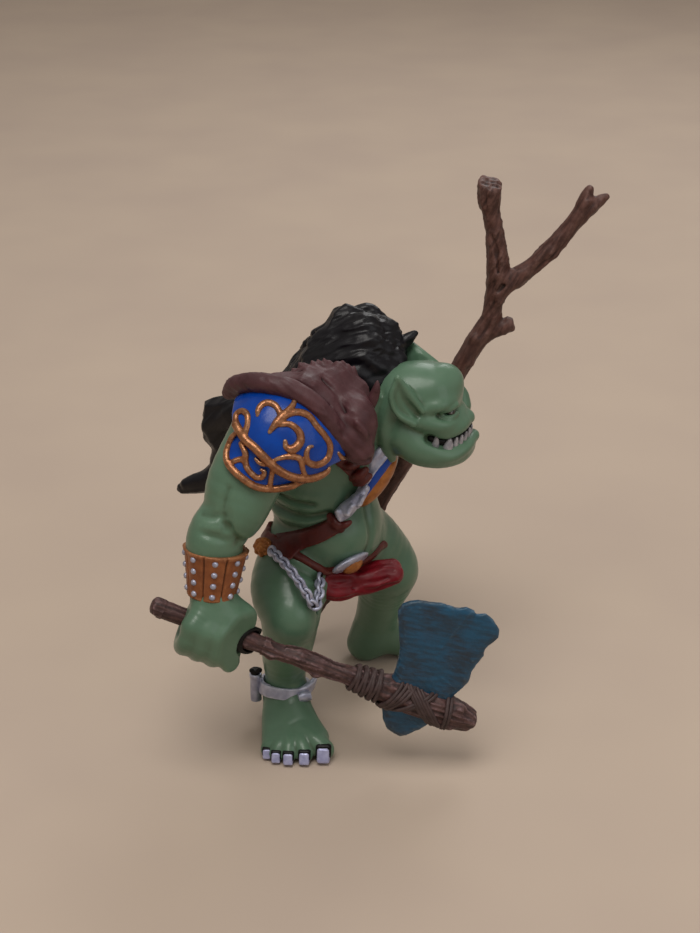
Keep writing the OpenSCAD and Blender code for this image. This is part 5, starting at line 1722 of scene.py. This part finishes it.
def on_staff(t, across=0.0, toward=0.0):
    return STAFF_FOOT + STAFF_AXIS * t + STAFF_ACROSS * across + np.array([0, -1, 0]) * toward


def staff_path(*stations):
    """Stations (along, across, toward, radius) by the shaft; across and toward can be left out."""
    return [(*on_staff(*place), r) for *place, r in stations]


staff_bark = calm_near(bark(STAFF_AXIS, 85, 0.22), STAFF_FOOT + STAFF_AXIS * FIST_ON_STAFF, STAFF_AXIS, 8)
shaft = Field(on_staff(0) - 4, on_staff(82) + 4, 0.34)
shaft.join(chain(staff_path((0.2, 2.2), (9, 0.1, 2.2), (18, -0.15, 2.35), (28, 0.1, 2.1), (38, 0.15, 2.3),
                            (48, -0.1, 2.15), (58, 0.1, 2.3), (66, 2.2), (84, 2.2))))
for t, a, o, r in ((14, 1.2, 1.4, 0.8), (31, -1.4, 1.1, 0.8), (44, 1.3, 1.2, 0.8), (54, -1.1, 1.4, 0.7)):
    shaft.join(ball(*on_staff(t, a, o), r), 1.4)
shaft.keep(half_space(on_staff(STAFF_SEAM), STAFF_AXIS))
shaft.cut(capsule((*on_staff(STAFF_SEAM - SPIGOT_LEN - 1 + SOCKET_R), SOCKET_R), (*on_staff(STAFF_SEAM + 3), SOCKET_R)))
add_sculpt("staff_pole", shaft, PAINT["staff_wood"], relief=only_outside(staff_bark, STAFF_FOOT, STAFF_AXIS, 1.85),
           reach=8, floor=0.05, body="staff", stands_for=["staff_shaft"], slot="wood")

FORK = [
    ([(70, 0, 2.2), (84, 0, 2.2), (92, -0.1, 2.25), (97, 0.2, 2.4), (101, 0.2, 2.3), (105.5, -1.6, 2.3),
      (110, -2.2, 2.9)], 0.6),
    ([(108, -2.2, 2.6), (113.5, -5.2, 2.7), (119, -9.2, 2.2), (124, -13.2, 2.0), (126.4, -15.2, 2.6),
      (130.4, -17.2, 2.9)], 0.8),
    ([(109, -2, 2.6), (113, 0.2, 2.4), (117, 2, 2.0), (121, 3.4, 2.2), (125.4, 4.4, 2.0), (129, 5, 1.9),
      (133.4, 5.6, 2.0),
      (136.4, 5.8, 2.3)], 0.8),
    ([(96.5, 0.4, 2.0), (99, 2.4, 1.9), (101.6, 4.6, 1.9)], 1.0),
    ([(136, 5, 1.6), (138.4, 4.4, 1.3), (140, 4.2, 0.8)], 0.6),
    ([(136.2, 6.8, 1.6), (138.6, 7.9, 1.2), (140, 8.6, 0.7)], 0.6)]
low = np.min([on_staff(66), on_staff(130, -22), on_staff(145, 11)], axis=0) - 4
high = np.max([on_staff(66), on_staff(130, -22), on_staff(145, 11)], axis=0) + 4
fork = Field(low, high, 0.32)
for stations, blend in FORK:
    fork.join(chain(staff_path(*stations)), blend)
for t, a, o, r in ((112, -4, 1.6, 1.0), (122.6, 4.6, 1.2, 0.9), (106.4, -0.6, 1.8, 0.8), (95, -1.2, 1.2, 0.9),
                   (89, 1, 1.4, 0.8)):
    fork.join(ball(*on_staff(t, a, o), r), 1.4)
tip_way = unit((0.2, -0.35, 0.9))
fork.cut(drum(on_staff(129.9, -17) + tip_way * 0.2, on_staff(129.9, -17) + tip_way * 8, 7), 0.5)
for path in ([(110.3, -2.2, 2.7, 0.6), (108.4, -2.5, 2.7, 0.5)],
             [(106.2, -2.4, 2.6, 0.3), (104, -1.8, 2.5, 0.6), (102, -1, 2.4, 0.2)],
             [(100.8, -0.4, 2.4, 0.2), (99, 0, 2.4, 0.5), (96, -0.4, 2.4, 0.2)],
             [(138.6, 6.2, 2, 0.7), (134.6, 5.8, 2.1, 0.3)],
             [(128.6, -17.4, 2.6, 0.4), (125.4, -15.6, 2.4, 0.45), (121, -11.8, 2.1, 0.3)],
             [(119.6, -10.6, 1.9, 0.4), (116.6, -7.6, 2.2, 0.5), (112.4, -4.8, 2.4, 0.3)],
             [(127, 5.6, 1.7, 0.3), (122, 4.6, 1.9, 0.4), (117, 2.6, 1.9, 0.3)]):
    fork.cut(chain(staff_path(*path)), 0.5)
stub_end, stub_way = on_staff(102.6, 5.4), unit(STAFF_AXIS * 0.62 + STAFF_ACROSS * 0.78)
fork.cut(drum(stub_end + stub_way * 0.1, stub_end + stub_way * 4, 2.8), 0.4)
fork.keep(half_space(on_staff(STAFF_SEAM), -STAFF_AXIS))
fork.join(capsule((*on_staff(STAFF_SEAM - SPIGOT_LEN + SPIGOT_R), SPIGOT_R), (*on_staff(STAFF_SEAM + 2), SPIGOT_R)))
add_sculpt("staff_crown", fork, PAINT["staff_wood"], relief=only_outside(staff_bark, STAFF_FOOT, STAFF_AXIS, 1.72),
           reach=8, body="staff_top", stands_for=["staff_fork"], slot="wood")


# ---- studio ----
def add_floor():
    bpy.ops.mesh.primitive_plane_add(size=8, location=(0, 0, 0))
    floor = bpy.context.object
    floor.name = "floor"
    p = Paint("floor_paper")
    p.link(p.mix(p.spread(p.noise(60, 2), 0.3, 0.7), linear("bdab9c"), linear("c3b1a0")), p.shader.inputs["Base Color"])
    p.set(Roughness=0.9)
    floor.data.materials.append(p.material)


def add_light(name, size, power, place, aim, colour=(1, 1, 1)):
    data = bpy.data.lights.new(name, "AREA")
    data.size, data.energy, data.color = size, power, colour
    lamp = bpy.data.objects.new(name, data)
    lamp.location = place
    lamp.rotation_euler = (Vector(aim) - Vector(place)).to_track_quat("-Z", "Y").to_euler()
    bpy.context.scene.collection.objects.link(lamp)


CAMERA_DROP, CAMERA_AWAY, CAMERA_LENS = math.radians(25), 0.430, 69.69


def add_camera():
    """The camera stands to the figure's right and looks down."""
    aim = (np.array([0, 0, 62]) + SHIFT) * MM
    back = np.array([0, -math.cos(CAMERA_DROP), math.sin(CAMERA_DROP)])
    data = bpy.data.cameras.new("camera")
    data.sensor_width, data.lens = 36, CAMERA_LENS
    data.clip_start, data.clip_end = 0.01, 50
    camera = bpy.data.objects.new("camera", data)
    camera.location = aim + CAMERA_AWAY * back
    camera.rotation_euler = Vector(-back).to_track_quat("-Z", "Y").to_euler()
    bpy.context.scene.collection.objects.link(camera)
    bpy.context.scene.camera = camera


def add_world():
    world = bpy.data.worlds.new("studio")
    world.use_nodes = True
    sky = world.node_tree.nodes["Background"]
    sky.inputs["Color"].default_value = linear("efe6dc")
    sky.inputs["Strength"].default_value = 0.36
    bpy.context.scene.world = world


add_floor()
add_world()
add_light("key", 0.5, 4.0, (-0.1, -0.3, 0.85), (0, 0, 0.05), (1, 0.97, 0.93))
add_light("fill", 0.6, 0.9, (0.6, -0.5, 0.45), (0, 0, 0.05), (0.95, 0.97, 1))
add_light("rim", 0.4, 1.6, (0.2, 0.6, 0.6), (0, 0, 0.06))
add_camera()
bpy.context.scene.view_settings.view_transform = "Standard"
